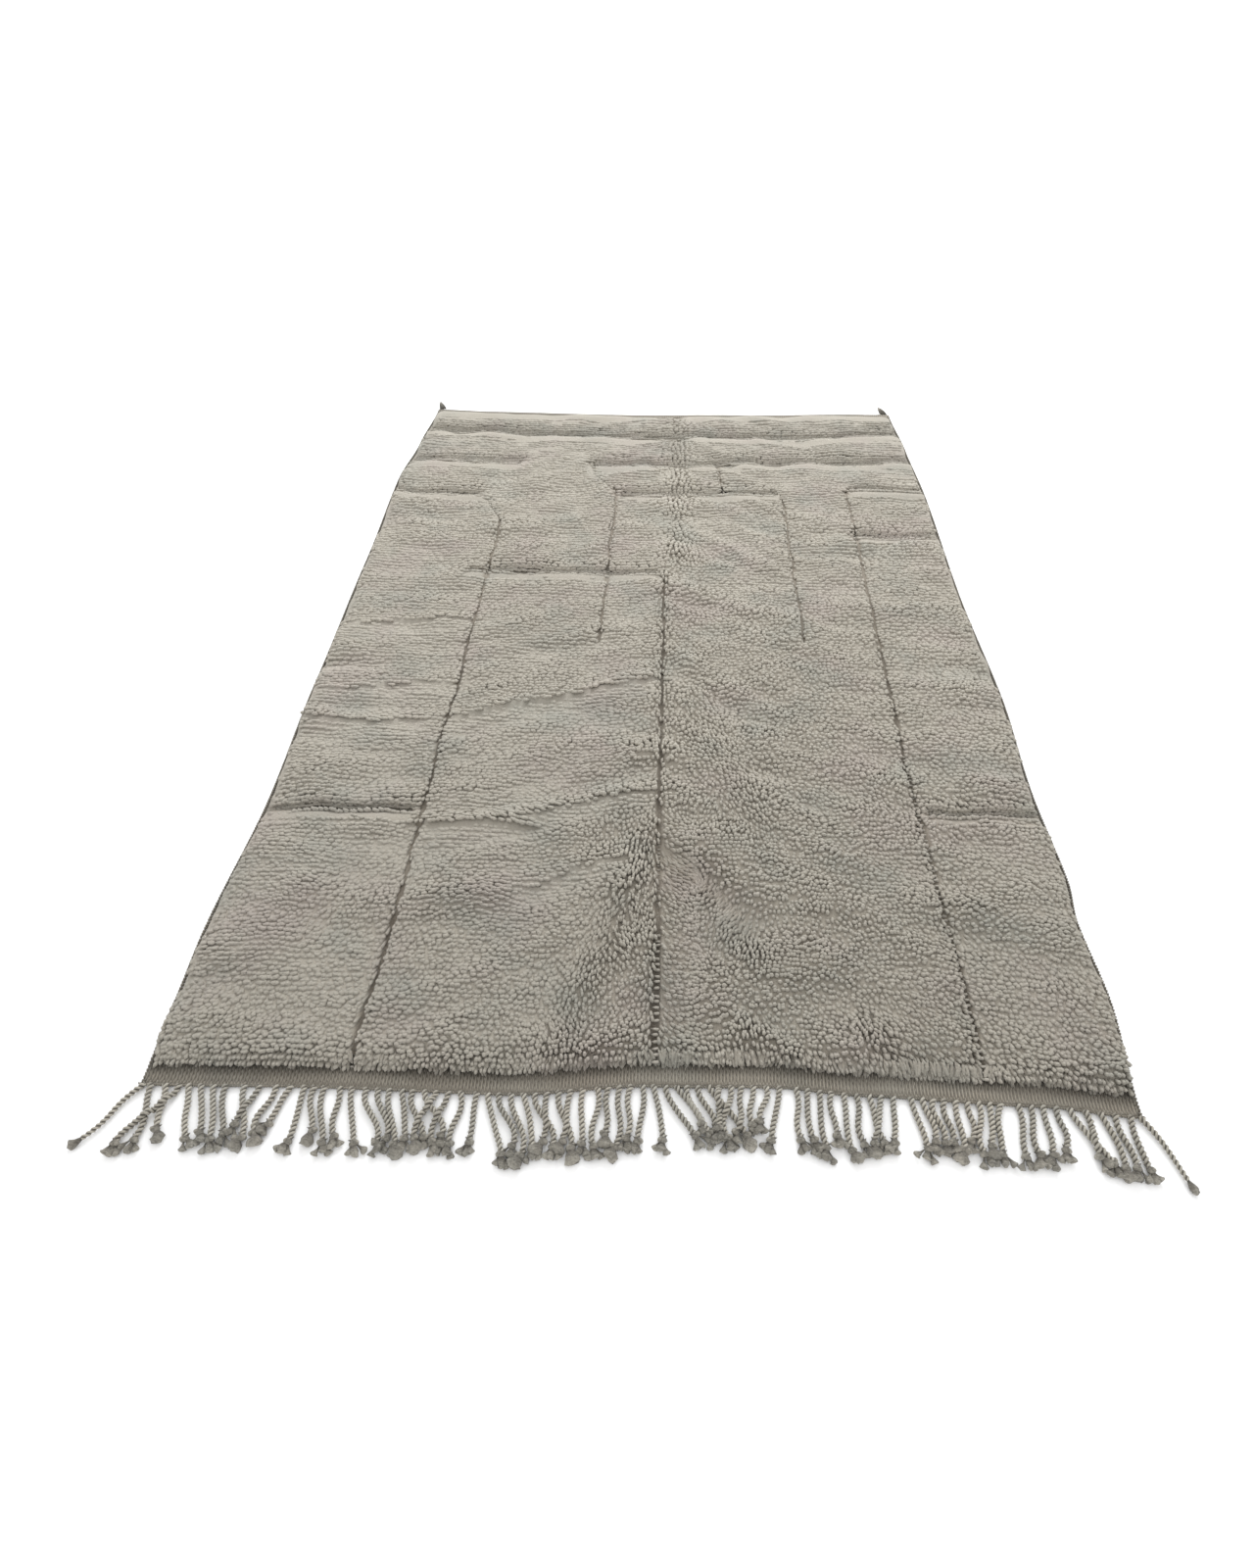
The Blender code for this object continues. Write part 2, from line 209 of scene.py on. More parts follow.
def vector_step(tree, operation, first, second=(0.0, 0.0, 0.0), scale=None):
    """The result of one step of vector arithmetic in a node tree."""
    inputs = {0: first, 1: second}
    if scale is not None:
        inputs["Scale"] = scale
    return put(tree, "ShaderNodeVectorMath", {"operation": operation}, inputs).outputs[0]


def combine(tree, x, y, z=0.0):
    return put(tree, "ShaderNodeCombineXYZ", (), {0: x, 1: y, 2: z}).outputs[0]


def stretch_range(tree, value, low, high, last=1.0):
    """A value that runs from 0, where it was low, to the last one, where it was high."""
    return put(tree, "ShaderNodeMapRange", (), {0: value, 1: low, 2: high, 4: last}).outputs[0]


def blend_colours(tree, share, first, second, way="MIX"):
    settings = {"data_type": "RGBA", "blend_type": way}
    return put(tree, "ShaderNodeMix", settings, {0: share, 6: first, 7: second}).outputs[2]


def spun_wool_group():
    """Fine fibres that run one way: a tone from 0 to 1 and a height, from coordinates in metres."""
    group, given, result = new_group(
        "ShaderNodeTree",
        "spun_wool",
        [
            ("Vector", "NodeSocketVector", None),
            ("Fibre Width", "NodeSocketFloat", 0.0012),
            ("Fibre Length", "NodeSocketFloat", 0.010),
        ],
        [("Tone", "NodeSocketFloat"), ("Height", "NodeSocketFloat")],
    )
    across = reckon(group, "DIVIDE", 1.0, given.outputs["Fibre Width"])
    along = reckon(group, "DIVIDE", 1.0, given.outputs["Fibre Length"])
    scale = combine(group, across, across, along)
    stretched = vector_step(group, "MULTIPLY", given.outputs["Vector"], scale)
    fine = put(group, "ShaderNodeTexNoise", (), {"Vector": stretched, "Scale": 1.0, "Detail": 3.0})
    group.links.new(stretch_range(group, fine.outputs["Fac"], 0.30, 0.70), result.inputs["Tone"])
    group.links.new(fine.outputs["Fac"], result.inputs["Height"])
    return group


SPUN_WOOL = spun_wool_group()


def new_material(name, roughness, fibre):
    """A wool material with its tree, its shader and its fibres of a width and a length, ready to be fed."""
    material = bpy.data.materials.new(name)
    material.use_nodes = True
    tree = material.node_tree
    shader = tree.nodes["Principled BSDF"]
    shader.inputs["Roughness"].default_value = roughness
    shader.inputs["Specular IOR Level"].default_value = 0.12
    shader.inputs["Sheen Weight"].default_value = 0.22
    shader.inputs["Sheen Roughness"].default_value = 0.55
    shader.inputs["Sheen Tint"].default_value = (1.0, 0.97, 0.92, 1.0)
    inputs = {"Fibre Width": fibre[0], "Fibre Length": fibre[1]}
    fibres = put(tree, "ShaderNodeGroup", {"node_tree": SPUN_WOOL}, inputs)
    return material, tree, shader, fibres


def raise_bump(tree, shader, height, depth, strength):
    bump = put(tree, "ShaderNodeBump", (), {"Height": height, "Distance": depth, "Strength": strength})
    tree.links.new(bump.outputs["Normal"], shader.inputs["Normal"])


def ground_material():
    """Close weave: knots in rows, with painted shade between them."""
    material, tree, shader, fibres = new_material("ground_wool", 0.92, (CLOTH_FIBRE, CLOTH_FIBRE))
    place = put(tree, "ShaderNodeTexCoord").outputs["Object"]
    apart = put(tree, "ShaderNodeSeparateXYZ", (), {0: place})
    rows = reckon(tree, "SINE", reckon(tree, "MULTIPLY", apart.outputs["Y"], math.tau / KNOT_ROW))
    knots = reckon(tree, "SINE", reckon(tree, "MULTIPLY", apart.outputs["X"], math.tau / KNOT_PITCH))
    relief = reckon(tree, "MULTIPLY_ADD", rows, 0.32, reckon(tree, "MULTIPLY_ADD", knots, 0.14, 0.5))
    tree.links.new(place, fibres.inputs["Vector"])
    tone = reckon(tree, "MULTIPLY", relief, reckon(tree, "MULTIPLY_ADD", fibres.outputs["Tone"], 0.5, 0.6))
    colour = blend_colours(tree, tone, CLOTH_SHADE, CLOTH_COLOUR)
    tree.links.new(colour, shader.inputs["Base Color"])
    raise_bump(tree, shader, reckon(tree, "ADD", relief, fibres.outputs["Height"]), CLOTH_RELIEF, 0.8)
    return material


def cover(mesh_tool, grid, downwards=False):
    """Faces between the rows of a grid of points. They look up or down."""
    for low, high in zip(grid, grid[1:]):
        for i in range(len(low) - 1):
            corners = (low[i], low[i + 1], high[i + 1], high[i])
            mesh_tool.faces.new(corners[:1] + corners[:0:-1] if downwards else corners)


def rim_of(grid):
    """The outermost points of a grid, once around."""
    right = [row[-1] for row in grid[1:-1]]
    left = [row[0] for row in grid[-2:0:-1]]
    return grid[0][:] + right + grid[-1][::-1] + left


def join_rings(mesh_tool, one, other):
    """Faces all around between two rings of points."""
    for i in range(len(one)):
        after = (i + 1) % len(one)
        mesh_tool.faces.new((one[i], one[after], other[after], other[i]))


def finished(name, mesh_tool, material):
    """The smooth object that a mesh tool has built."""
    mesh = bpy.data.meshes.new(name)
    mesh_tool.to_mesh(mesh)
    mesh_tool.free()
    mesh.shade_smooth()
    mesh.materials.append(material)
    thing = bpy.data.objects.new(name, mesh)
    bpy.context.scene.collection.objects.link(thing)
    return thing


def ground_cloth():
    """A closed sheet with rounded edges, on the rug's own uneven outline."""
    mesh_tool = bmesh.new()
    layers = []
    for top in (True, False):
        grid = []
        for j in range(CLOTH_ROWS + 1):
            row = []
            for i in range(CLOTH_COLUMNS + 1):
                x = RUG_WIDTH * (i / CLOTH_COLUMNS - 0.5)
                y = mixed(near_end(x), far_end(x), j / CLOTH_ROWS)
                left, right = side(y, -1) + CLOTH_INSET, side(y, 1) - CLOTH_INSET
                x = mixed(left, right, i / CLOTH_COLUMNS)
                swell = CLOTH_SWELL * patchy(x * CLOTH_WAVES, y * CLOTH_WAVES, 4.0)
                row.append(mesh_tool.verts.new((x, y, CLOTH_TOP + swell if top else CLOTH_FOOT)))
            grid.append(row)
        layers.append(grid)
    upper, lower = layers
    cover(mesh_tool, upper)
    cover(mesh_tool, lower, downwards=True)
    top_ring, foot_ring = rim_of(upper), rim_of(lower)
    edge_ring = []
    for high, low in zip(top_ring, foot_ring):
        middle = (high.co + low.co) / 2
        out = Vector((middle.x, middle.y, 0.0)).normalized() * CLOTH_EDGE
        edge_ring.append(mesh_tool.verts.new(middle + out))
    join_rings(mesh_tool, foot_ring, edge_ring)
    join_rings(mesh_tool, edge_ring, top_ring)
    bmesh.ops.recalc_face_normals(mesh_tool, faces=mesh_tool.faces[:])
    return finished("ground_cloth", mesh_tool, ground_material())


ground = ground_cloth()
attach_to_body(ground, "root")
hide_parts("rug")


# The pile: some 36,500 tufts of soft unspun wool, each the two cut ends of a knot tied round two warps. They
# stand in weft rows, lean towards the near end, and lie flatter or stand more open where the rug was handled
# or folded. Lines without knots split the pile into panels.
NEAR_BAND = 0.036
FAR_HEM = 0.018
PILE_TOP = 0.024
LUMP_RISE = 0.0076
LUMP_SIZE = 0.105
ROOT_HEIGHT = 0.0030
ROW_PITCH = (0.0086, 0.0150)
TUFT_PITCH = (0.0074, 0.0116)
SIDE_INSET = 0.0085
LOCK_DEPTH = 0.018
FAR_INSET = 0.0035
GROOVE_TAPER = 0.028
WANDER = 0.0032
SEAM_FLOOR = 0.52
LADDER_START = -0.94
GROOVE_SHARE = 0.84
CLUMP_SIZE = 0.030
CLUMP_PULL = 0.0026
TIP_DROOP = 0.0016
ROW_WAVE = 0.0030
CHAIN_WAVE = 0.0040
SEAM_LOOSE = 0.0056
STREAK_DROP = 0.0036
SMOOTHEST = 0.90
LUCKY_NUMBERS = 8
PILE_SEED = 11

# The vector noise that draws tufts together in clumps starts elsewhere in each run, unless it is given a seed
noise.seed_set(PILE_SEED)

# How far the pile is changed beside a groove's lip, a seam, a side and the ends, how deep it sinks beside a
# groove, as shares of the groove's depth, and how far it rounds off at its outer edges
LIP_REACH = 0.010
SEAM_REACH = 0.016
SIDE_REACH = 0.030
NEAR_REACH = 0.056
FAR_REACH = 0.046
SLOPE_SINK = 0.95
LIP_SINK = 0.08
SEAM_SINK = 0.16
SIDE_DROP = 0.0095
NEAR_DROP = 0.0130
FAR_DROP = 0.0160

# The length of a tuft where the pile stands, lies brushed, lies flat or stands open, and beside grooves and
# ends
STANDING_LENGTH = 0.0250
BRUSHED_LENGTH = 0.0480
FLAT_LENGTH = 0.0400
OPEN_LENGTH = 0.0232
SLOPE_LENGTH = 0.0105
LIP_LENGTH = 0.0235
NEAR_LENGTH = 0.0300
FAR_LENGTH = 0.0190
SHORTEST = 0.010

# The width of a tuft along a seam, a side and the near end, and its depth along a groove's lip
SEAM_WIDTH = (0.0036, 0.0043)
SIDE_WIDTH = 0.0060
NEAR_WIDTH = (0.0029, 0.0040)
LIP_TUFT = 0.0050

# Painted light and shade along the length: the pile's tone, darker towards both ends and lighter through the
# middle, in place of how the light falls
LENGTHWISE_PAINTED_LIGHT = [
    (-1.24, 0.94),
    (-0.95, 0.97),
    (-0.40, 1.12),
    (0.40, 1.21),
    (0.80, 1.19),
    (1.02, 1.03),
    (1.20, 0.98),
]

# A groove is a line without knots. Its places are points along it, and its runs the stretches where it is
# open. The pile beyond it falls to it over a length of its own, and its shape is how much of its width it
# has along it.
Groove = namedtuple("Groove", "places width depth runs fall shape", defaults=(0.0, ()))
LENGTHWISE = [
    Groove(
        [(-1.26, -0.466), (-1.00, -0.457), (0.48, -0.455), (0.635, -0.524), (1.26, -0.500)],
        0.012, 0.015, [(-1.23, 0.64)], 0.0, [(-1.24, 1.25), (-0.90, 1.10), (-0.50, 0.90), (0.64, 0.90)],
    ),
    Groove(
        [
            (-1.26, -0.132), (-0.09, -0.132), (0.24, -0.126),
            (0.655, -0.125), (0.845, -0.222), (1.26, -0.235),
        ],
        0.010, 0.012, [(-0.09, 0.85)],
    ),
    Groove(
        [(-1.26, 0.029), (1.26, 0.029)],
        0.012, 0.016, [(-1.23, 0.23)], 0.0, [(-1.24, 1.10), (-1.00, 1.00), (-0.90, 0.58), (0.23, 0.72)],
    ),
    Groove([(-1.26, 0.192), (0.67, 0.206), (0.85, 0.190), (1.26, 0.186)], 0.009, 0.009, [(0.66, 0.86)]),
    Groove([(-1.26, 0.376), (1.26, 0.386)], 0.010, 0.012, [(-0.07, 0.67)]),
    Groove(
        [(-1.26, 0.562), (-0.50, 0.558), (0.16, 0.571), (0.64, 0.582), (1.26, 0.590)],
        0.012, 0.015, [(-1.23, 0.71)], 0.0, [(-1.24, 1.25), (-0.80, 1.05), (-0.50, 0.85), (0.71, 0.90)],
    ),
]
CROSSWISE = [
    Groove(
        [(-0.83, -0.664), (-0.46, -0.657), (0.55, -0.625), (0.83, -0.618)],
        0.021, 0.015, [(-0.83, -0.455), (0.56, 0.84)], 0.036,
    ),
    Groove([(-0.83, 0.218), (0.03, 0.224), (0.83, 0.216)], 0.024, 0.016, [(-0.53, 0.03)], 0.046),
    Groove([(-0.83, 0.420), (0.55, 0.433), (0.83, 0.450)], 0.026, 0.016, [(0.55, 0.84)], 0.052),
    Groove(
        [
            (-0.83, 0.660), (-0.76, 0.634), (-0.52, 0.632), (-0.12, 0.650),
            (0.38, 0.670), (0.62, 0.705), (0.83, 0.702),
        ],
        0.030, 0.018, [(-0.83, -0.52), (-0.13, 0.39), (0.58, 0.84)], 0.058,
    ),
    Groove(
        [(-0.83, 0.862), (-0.72, 0.848), (0.00, 0.838), (0.83, 0.894)],
        0.030, 0.018, [(-0.83, -0.42), (-0.23, 0.84)], 0.060,
    ),
    Groove(
        [(-0.83, 1.084), (-0.67, 1.056), (-0.10, 1.022), (0.05, 1.042), (0.50, 1.046), (0.83, 1.088)],
        0.030, 0.018, [(-0.83, 0.84)], 0.062,
    ),
]

# Soft folds and hollows of the pile, each along a line of points. A steep one breaks off sharply in front.
Fold = namedtuple("Fold", "points rise reach steep", defaults=(False,))
FOLDS = [
    Fold([(-0.437, -0.400), (-0.306, -0.344), (-0.159, -0.303), (0.008, -0.243)], 0.0100, 0.032, True),
    Fold([(-0.455, -0.713), (-0.240, -0.704)], 0.0110, 0.030, True),
    Fold([(-0.225, -0.690), (-0.184, -0.665), (0.015, -0.604)], 0.0070, 0.032, True),
    Fold([(-0.202, -0.858), (-0.119, -0.808), (-0.032, -0.779)], 0.0058, 0.032, True),
    Fold([(-0.391, -0.902), (-0.266, -0.880)], 0.0065, 0.026),
    Fold([(0.040, -0.765), (0.110, -0.812), (0.160, -0.870), (0.200, -0.940)], -0.0130, 0.030),
    Fold([(0.130, -0.715), (0.200, -0.770), (0.320, -0.865)], 0.0090, 0.034),
    Fold([(0.360, -0.865), (0.458, -0.915), (0.530, -1.020)], 0.0060, 0.034),
    Fold([(0.040, 0.150), (0.200, 0.060), (0.350, 0.010)], 0.0050, 0.030),
    Fold([(0.145, -0.298), (0.217, -0.367), (0.297, -0.386)], -0.0080, 0.022),
    Fold([(0.231, -0.521), (0.297, -0.547)], -0.0060, 0.022),
    Fold([(0.281, -0.595), (0.346, -0.620)], -0.0060, 0.022),
    Fold([(-0.795, -0.312), (-0.690, -0.304), (-0.561, -0.280), (-0.460, -0.276)], 0.0065, 0.030, True),
    Fold([(-0.769, -0.412), (-0.686, -0.420), (-0.618, -0.424), (-0.534, -0.406)], 0.0085, 0.030, True),
    Fold([(-0.790, -0.213), (-0.722, -0.199)], -0.0060, 0.017),
    Fold([(-0.750, -0.050), (-0.470, -0.022)], 0.0060, 0.030, True),
    Fold([(-0.270, -0.108), (-0.080, -0.060)], 0.0046, 0.020),
    Fold([(-0.433, 0.491), (-0.287, 0.520), (-0.183, 0.570)], -0.0048, 0.024),
    Fold([(-0.450, 0.408), (-0.330, 0.424)], 0.0046, 0.020),
    Fold([(0.051, 0.500), (0.149, 0.504)], -0.0055, 0.026),
    Fold([(0.407, 0.315), (0.487, 0.319)], -0.0040, 0.020),
    Fold([(0.076, 0.282), (0.201, 0.277)], -0.0040, 0.022),
    Fold([(0.284, 0.181), (0.348, 0.151)], -0.0040, 0.022),
    Fold([(0.668, 0.253), (0.782, 0.277)], -0.0045, 0.022),
    Fold([(0.736, -0.149), (0.805, -0.183)], -0.0050, 0.022),
    Fold([(0.060, 0.300), (0.060, 1.190)], -0.0030, 0.026),
    Fold([(-0.030, -0.780), (-0.170, -1.190)], -0.0030, 0.040),
]

# Ripples that run across the rug. Between the seams they slant, by how far they have shifted towards +Y at
# each x.
RIPPLE_SHIFT = [
    (-0.83, 0.0),
    (-0.457, 0.0),
    (0.03, 0.185),
    (0.40, -0.070),
    (0.57, -0.095),
    (0.83, -0.095),
]
RIPPLE_SIZE = (0.190, 0.062)
RIPPLE_RISE = 0.0076
FULL_HEIGHT = 0.0380

# Where the pile stands open: its tufts fan out to both sides of a line, more upright than the rest
Opening = namedtuple("Opening", "x1 y1 x2 y2 reach spread upright")
OPENINGS = [
    Opening(0.060, 0.300, 0.060, 1.200, 0.046, 0.42, 0.80),
    Opening(-0.004, -0.740, -0.048, -0.960, 0.034, 0.14, 0.95),
    Opening(-0.050, -0.960, -0.150, -1.200, 0.032, 0.12, 0.55),
    Opening(0.029, -0.640, 0.029, -1.200, 0.020, 0.30, 0.50),
    Opening(0.029, 0.230, 0.029, -0.640, 0.016, 0.12, 0.40),
    Opening(0.10, -0.300, 0.22, -0.640, 0.050, 0.20, 0.35),
    Opening(0.070, -0.790, 0.130, -0.840, 0.030, 0.10, 0.85),
    Opening(0.170, -0.940, 0.210, -0.985, 0.030, 0.10, 0.70),
    Opening(0.190, -1.120, 0.180, -1.175, 0.022, 0.20, 0.80),
    Opening(0.390, -1.110, 0.420, -1.175, 0.026, 0.20, 0.90),
]

# Where the pile was stroked: its tufts lean towards one side of the usual lean, and some lie flat
Stroke = namedtuple("Stroke", "x1 y1 x2 y2 reach aside flat")
STROKES = [
    Stroke(0.064, -0.680, 0.068, -1.180, 0.030, 1.15, 0.30),
    Stroke(0.110, -0.420, 0.190, -0.640, 0.045, 0.80, 0.20),
    Stroke(0.150, -0.560, 0.190, -0.900, 0.050, -0.45, 0.0),
    Stroke(-0.62, -0.900, -0.60, -0.200, 0.070, -0.35, 0.0),
    Stroke(0.48, -1.150, 0.46, -0.550, 0.085, 0.70, 0.0),
    Stroke(0.72, -0.900, 0.70, -0.100, 0.060, 0.45, 0.0),
    Stroke(-0.28, -0.900, -0.20, -0.500, 0.060, -0.40, 0.0),
    Stroke(0.13, -0.020, 0.26, 0.350, 0.070, 0.50, 0.0),
]

# How smoothly the pile lies, from 0, where each tuft stands clear, to 1, where it is brushed flat
Patch = namedtuple("Patch", "x y reach_x reach_y brushed")
PATCHES = [
    Patch(-0.66, -0.80, 0.20, 0.55, 0.62),
    Patch(-0.64, 0.10, 0.22, 0.60, 0.70),
    Patch(-0.28, -0.95, 0.16, 0.35, 0.50),
    Patch(-0.26, -0.35, 0.20, 0.35, 0.62),
    Patch(0.00, -0.90, 0.12, 0.40, 0.05),
    Patch(0.28, -0.90, 0.22, 0.40, 0.16),
    Patch(0.28, -0.25, 0.22, 0.35, 0.30),
    Patch(0.70, -0.90, 0.14, 0.45, 0.34),
    Patch(0.72, -0.10, 0.16, 0.50, 0.48),
    Patch(0.10, 0.45, 0.60, 0.30, 0.68),
    Patch(0.00, 1.00, 0.90, 0.30, 0.88),
]

# Where each fold still tells, as a span along the length
FOLD_HOLD = 2.6
FOLD_SPANS = []
for fold in FOLDS:
    along = [y for _, y in fold.points]
    FOLD_SPANS.append((min(along) - FOLD_HOLD * fold.reach, max(along) + FOLD_HOLD * fold.reach))


def off_stretch(stretch, x, y):
    """How far a point lies from a straight stretch, with its side of it as the sign."""
    run_x, run_y = stretch.x2 - stretch.x1, stretch.y2 - stretch.y1
    share = ((x - stretch.x1) * run_x + (y - stretch.y1) * run_y) / (run_x**2 + run_y**2)
    share = min(max(share, 0.0), 1.0)
    away_x = x - stretch.x1 - run_x * share
    away_y = y - stretch.y1 - run_y * share
    return math.copysign(math.hypot(away_x, away_y), away_x)


def off_line(points, x, y):
    """How far a point lies from a line of points."""
    nearest = 9.0
    for (x1, y1), (x2, y2) in zip(points, points[1:]):
        run_x, run_y = x2 - x1, y2 - y1
        share = ((x - x1) * run_x + (y - y1) * run_y) / (run_x**2 + run_y**2)
        share = min(max(share, 0.0), 1.0)
        nearest = min(nearest, math.hypot(x - x1 - run_x * share, y - y1 - run_y * share))
    return nearest


def near_share(stretch, away):
    return math.exp(-((away / stretch.reach) ** 2))


def folds_at(x, y):
    """What the folds add to the pile's height, and how near a steep one's crest is, from 0 to 1."""
    rise, crest = 0.0, 0.0
    for fold, (low, high) in zip(FOLDS, FOLD_SPANS):
        if low < y < high:
            share = near_share(fold, off_line(fold.points, x, y))
            if fold.steep:
                crest = max(crest, share)
            if not (fold.steep and y < follow(fold.points, x)):
                rise += fold.rise * share
    return rise, crest


def pile_height(x, y):
    """The height of the pile's lumpy surface, grooves left out."""
    lumps = patchy(x / LUMP_SIZE, y / LUMP_SIZE, 0.0)
    folds = folds_at(x, y)[0]
    shifted = y - follow(RIPPLE_SHIFT, x)
    ripple = patchy(x / RIPPLE_SIZE[0], shifted / RIPPLE_SIZE[1], 30.0)
    return min(PILE_TOP + LUMP_RISE * lumps + folds + RIPPLE_RISE * ripple, FULL_HEIGHT)


def brushed_share(x, y):
    """How smoothly the pile lies at a point, blended from the patches around it."""
    total, weights = 0.0, 1e-6
    for patch in PATCHES:
        far = ((x - patch.x) / patch.reach_x) ** 2 + ((y - patch.y) / patch.reach_y) ** 2
        weight = math.exp(-far)
        total += patch.brushed * weight
        weights += weight
    uneven = 0.20 * patchy(x / 0.16, y / 0.12, 8.0)
    return min(max(total / weights + uneven + 0.40 * folds_at(x, y)[1], 0.0), SMOOTHEST)


def row_share(x, y):
    """Whether the tufts join up in crosswise rows, towards 1, or in lengthwise chains, towards -1."""
    share = -0.15 + 1.5 * patchy(x / 0.19, y / 0.12, 14.0) + 1.1 * brushed_share(x, y) ** 2
    for opening in OPENINGS:
        share -= 1.3 * near_share(opening, off_stretch(opening, x, y))
    return min(max(share, -1.0), 1.0)


def middle_of(groove, at):
    """Where a groove's middle lies at a place along it. It wanders a little off its straight line."""
    return follow(groove.places, at) + WANDER * patchy(at / 0.055, groove.width * 900.0, 20.0)


def open_share(groove, at):
    """How much of its width a groove has at a place along it."""
    share = max(eased(min(at - start, end - at) / GROOVE_TAPER) for start, end in groove.runs)
    return share * follow(groove.shape, at) if groove.shape else share


def nearest_groove(grooves, at, across):
    """The distance past the lip of the nearest open groove, negative inside it, with the side, how open it
    is there and the groove itself."""
    best = (1.0, 1.0, 0.0, grooves[0])
    for groove in grooves:
        open_here = open_share(groove, at)
        if open_here > 0.0:
            gap = across - middle_of(groove, at)
            past = abs(gap) - GROOVE_SHARE * groove.width / 2 * open_here
            if past < best[0]:
                best = (past, math.copysign(1.0, gap), open_here, groove)
    return best


# The pile at one spot: its height without and with the grooves, how far the spot is from the nearest groove,
# and from 0 to 1 how near it is to a crosswise groove's slope and lip, a lengthwise seam, a side, and the
# ends of the pile
Spot = namedtuple("Spot", "plain top clear slope lip seam rim rim_side edge near far")


def spot_at(x, y):
    past_x, _, opened_x, seam_line = nearest_groove(LENGTHWISE, y, x)
    past_y, side_y, opened_y, cross_line = nearest_groove(CROSSWISE, x, y)
    slope = opened_y * (1.0 - eased(past_y / cross_line.fall)) if side_y > 0.0 else 0.0
    lip = opened_y * (1.0 - eased(past_y / LIP_REACH)) if side_y <= 0.0 else 0.0
    seam = min(1.5 * opened_x, 1.0) * (1.0 - eased(past_x / SEAM_REACH))
    left, right = x - side(y, -1), side(y, 1) - x
    edge = min(left, right)
    rim = 1.0 - eased(edge / SIDE_REACH)
    rim_side = math.copysign(1.0, left - right)
    near = 1.0 - eased((y - near_end(x) - NEAR_BAND) / NEAR_REACH)
    far = 1.0 - eased((far_end(x) - FAR_HEM - y) / FAR_REACH)
    plain = pile_height(x, y)
    top = plain - cross_line.depth * (SLOPE_SINK * slope + LIP_SINK * lip)
    top -= SEAM_SINK * seam_line.depth * seam
    top -= SIDE_DROP * rim**2 + NEAR_DROP * near**2 + FAR_DROP * far**2
    return Spot(plain, top, min(past_x, past_y), slope, lip, seam, rim, rim_side, edge, near, far)


def beside_groove(grooves, at, across, pitch, loose=0.0):
    """Sets a tuft that is close to an open groove right on its lip, or a little off it, so that the lip runs
    clean."""
    for groove in grooves:
        open_here = open_share(groove, at)
        if open_here > 0.2:
            middle = middle_of(groove, at)
            lip = GROOVE_SHARE * groove.width / 2 * open_here
            gap = across - middle
            if 0.22 * pitch < abs(gap) < lip + 0.5 * pitch:
                return middle + math.copysign(lip + 0.0006 + loose, gap)
    return across


# One lobe of wool: where its root is, how it is turned, its width, depth and length, how far its tip is
# pulled off the straight, its tone, and how little painted shade darkens its foot
Lobe = namedtuple("Lobe", "place turn size pull tone soft", defaults=(0.0,))
STRAIGHT = (0.0, 0.0, 0.0)
LYING = math.radians(90.0)
CELL_MARGIN = 0.08


def stored(tree, name, kind="FLOAT_VECTOR"):
    """An attribute of the geometry at hand."""
    node = put(tree, "GeometryNodeInputNamedAttribute", {"data_type": kind}, {"Name": name})
    return next(s for s in node.outputs if s.enabled and s.name == "Attribute")


def keep(tree, geometry, name, value, kind="FLOAT_VECTOR", domain="POINT"):
    """A geometry with a value stored on it as an attribute."""
    settings = {"data_type": kind, "domain": domain}
    inputs = {"Geometry": geometry, "Name": name}
    node = put(tree, "GeometryNodeStoreNamedAttribute", settings, inputs)
    tree.links.new(value, next(s for s in node.inputs if s.enabled and s.name == "Value"))
    return node.outputs[0]


def move(tree, geometry, **inputs):
    """A geometry with its points set to a Position, or moved by an Offset."""
    return put(tree, "GeometryNodeSetPosition", (), {"Geometry": geometry, **inputs}).outputs[0]


def hand_over(tree, geometry, given, result):
    """The last steps of a tree: one smooth mesh, in the wool that was given."""
    smooth = put(tree, "GeometryNodeSetShadeSmooth", (), {"Geometry": geometry}).outputs[0]
    inputs = {"Geometry": smooth, "Material": given.outputs["Wool"]}
    painted = put(tree, "GeometryNodeSetMaterial", (), inputs).outputs[0]
    tree.links.new(painted, result.inputs["Geometry"])


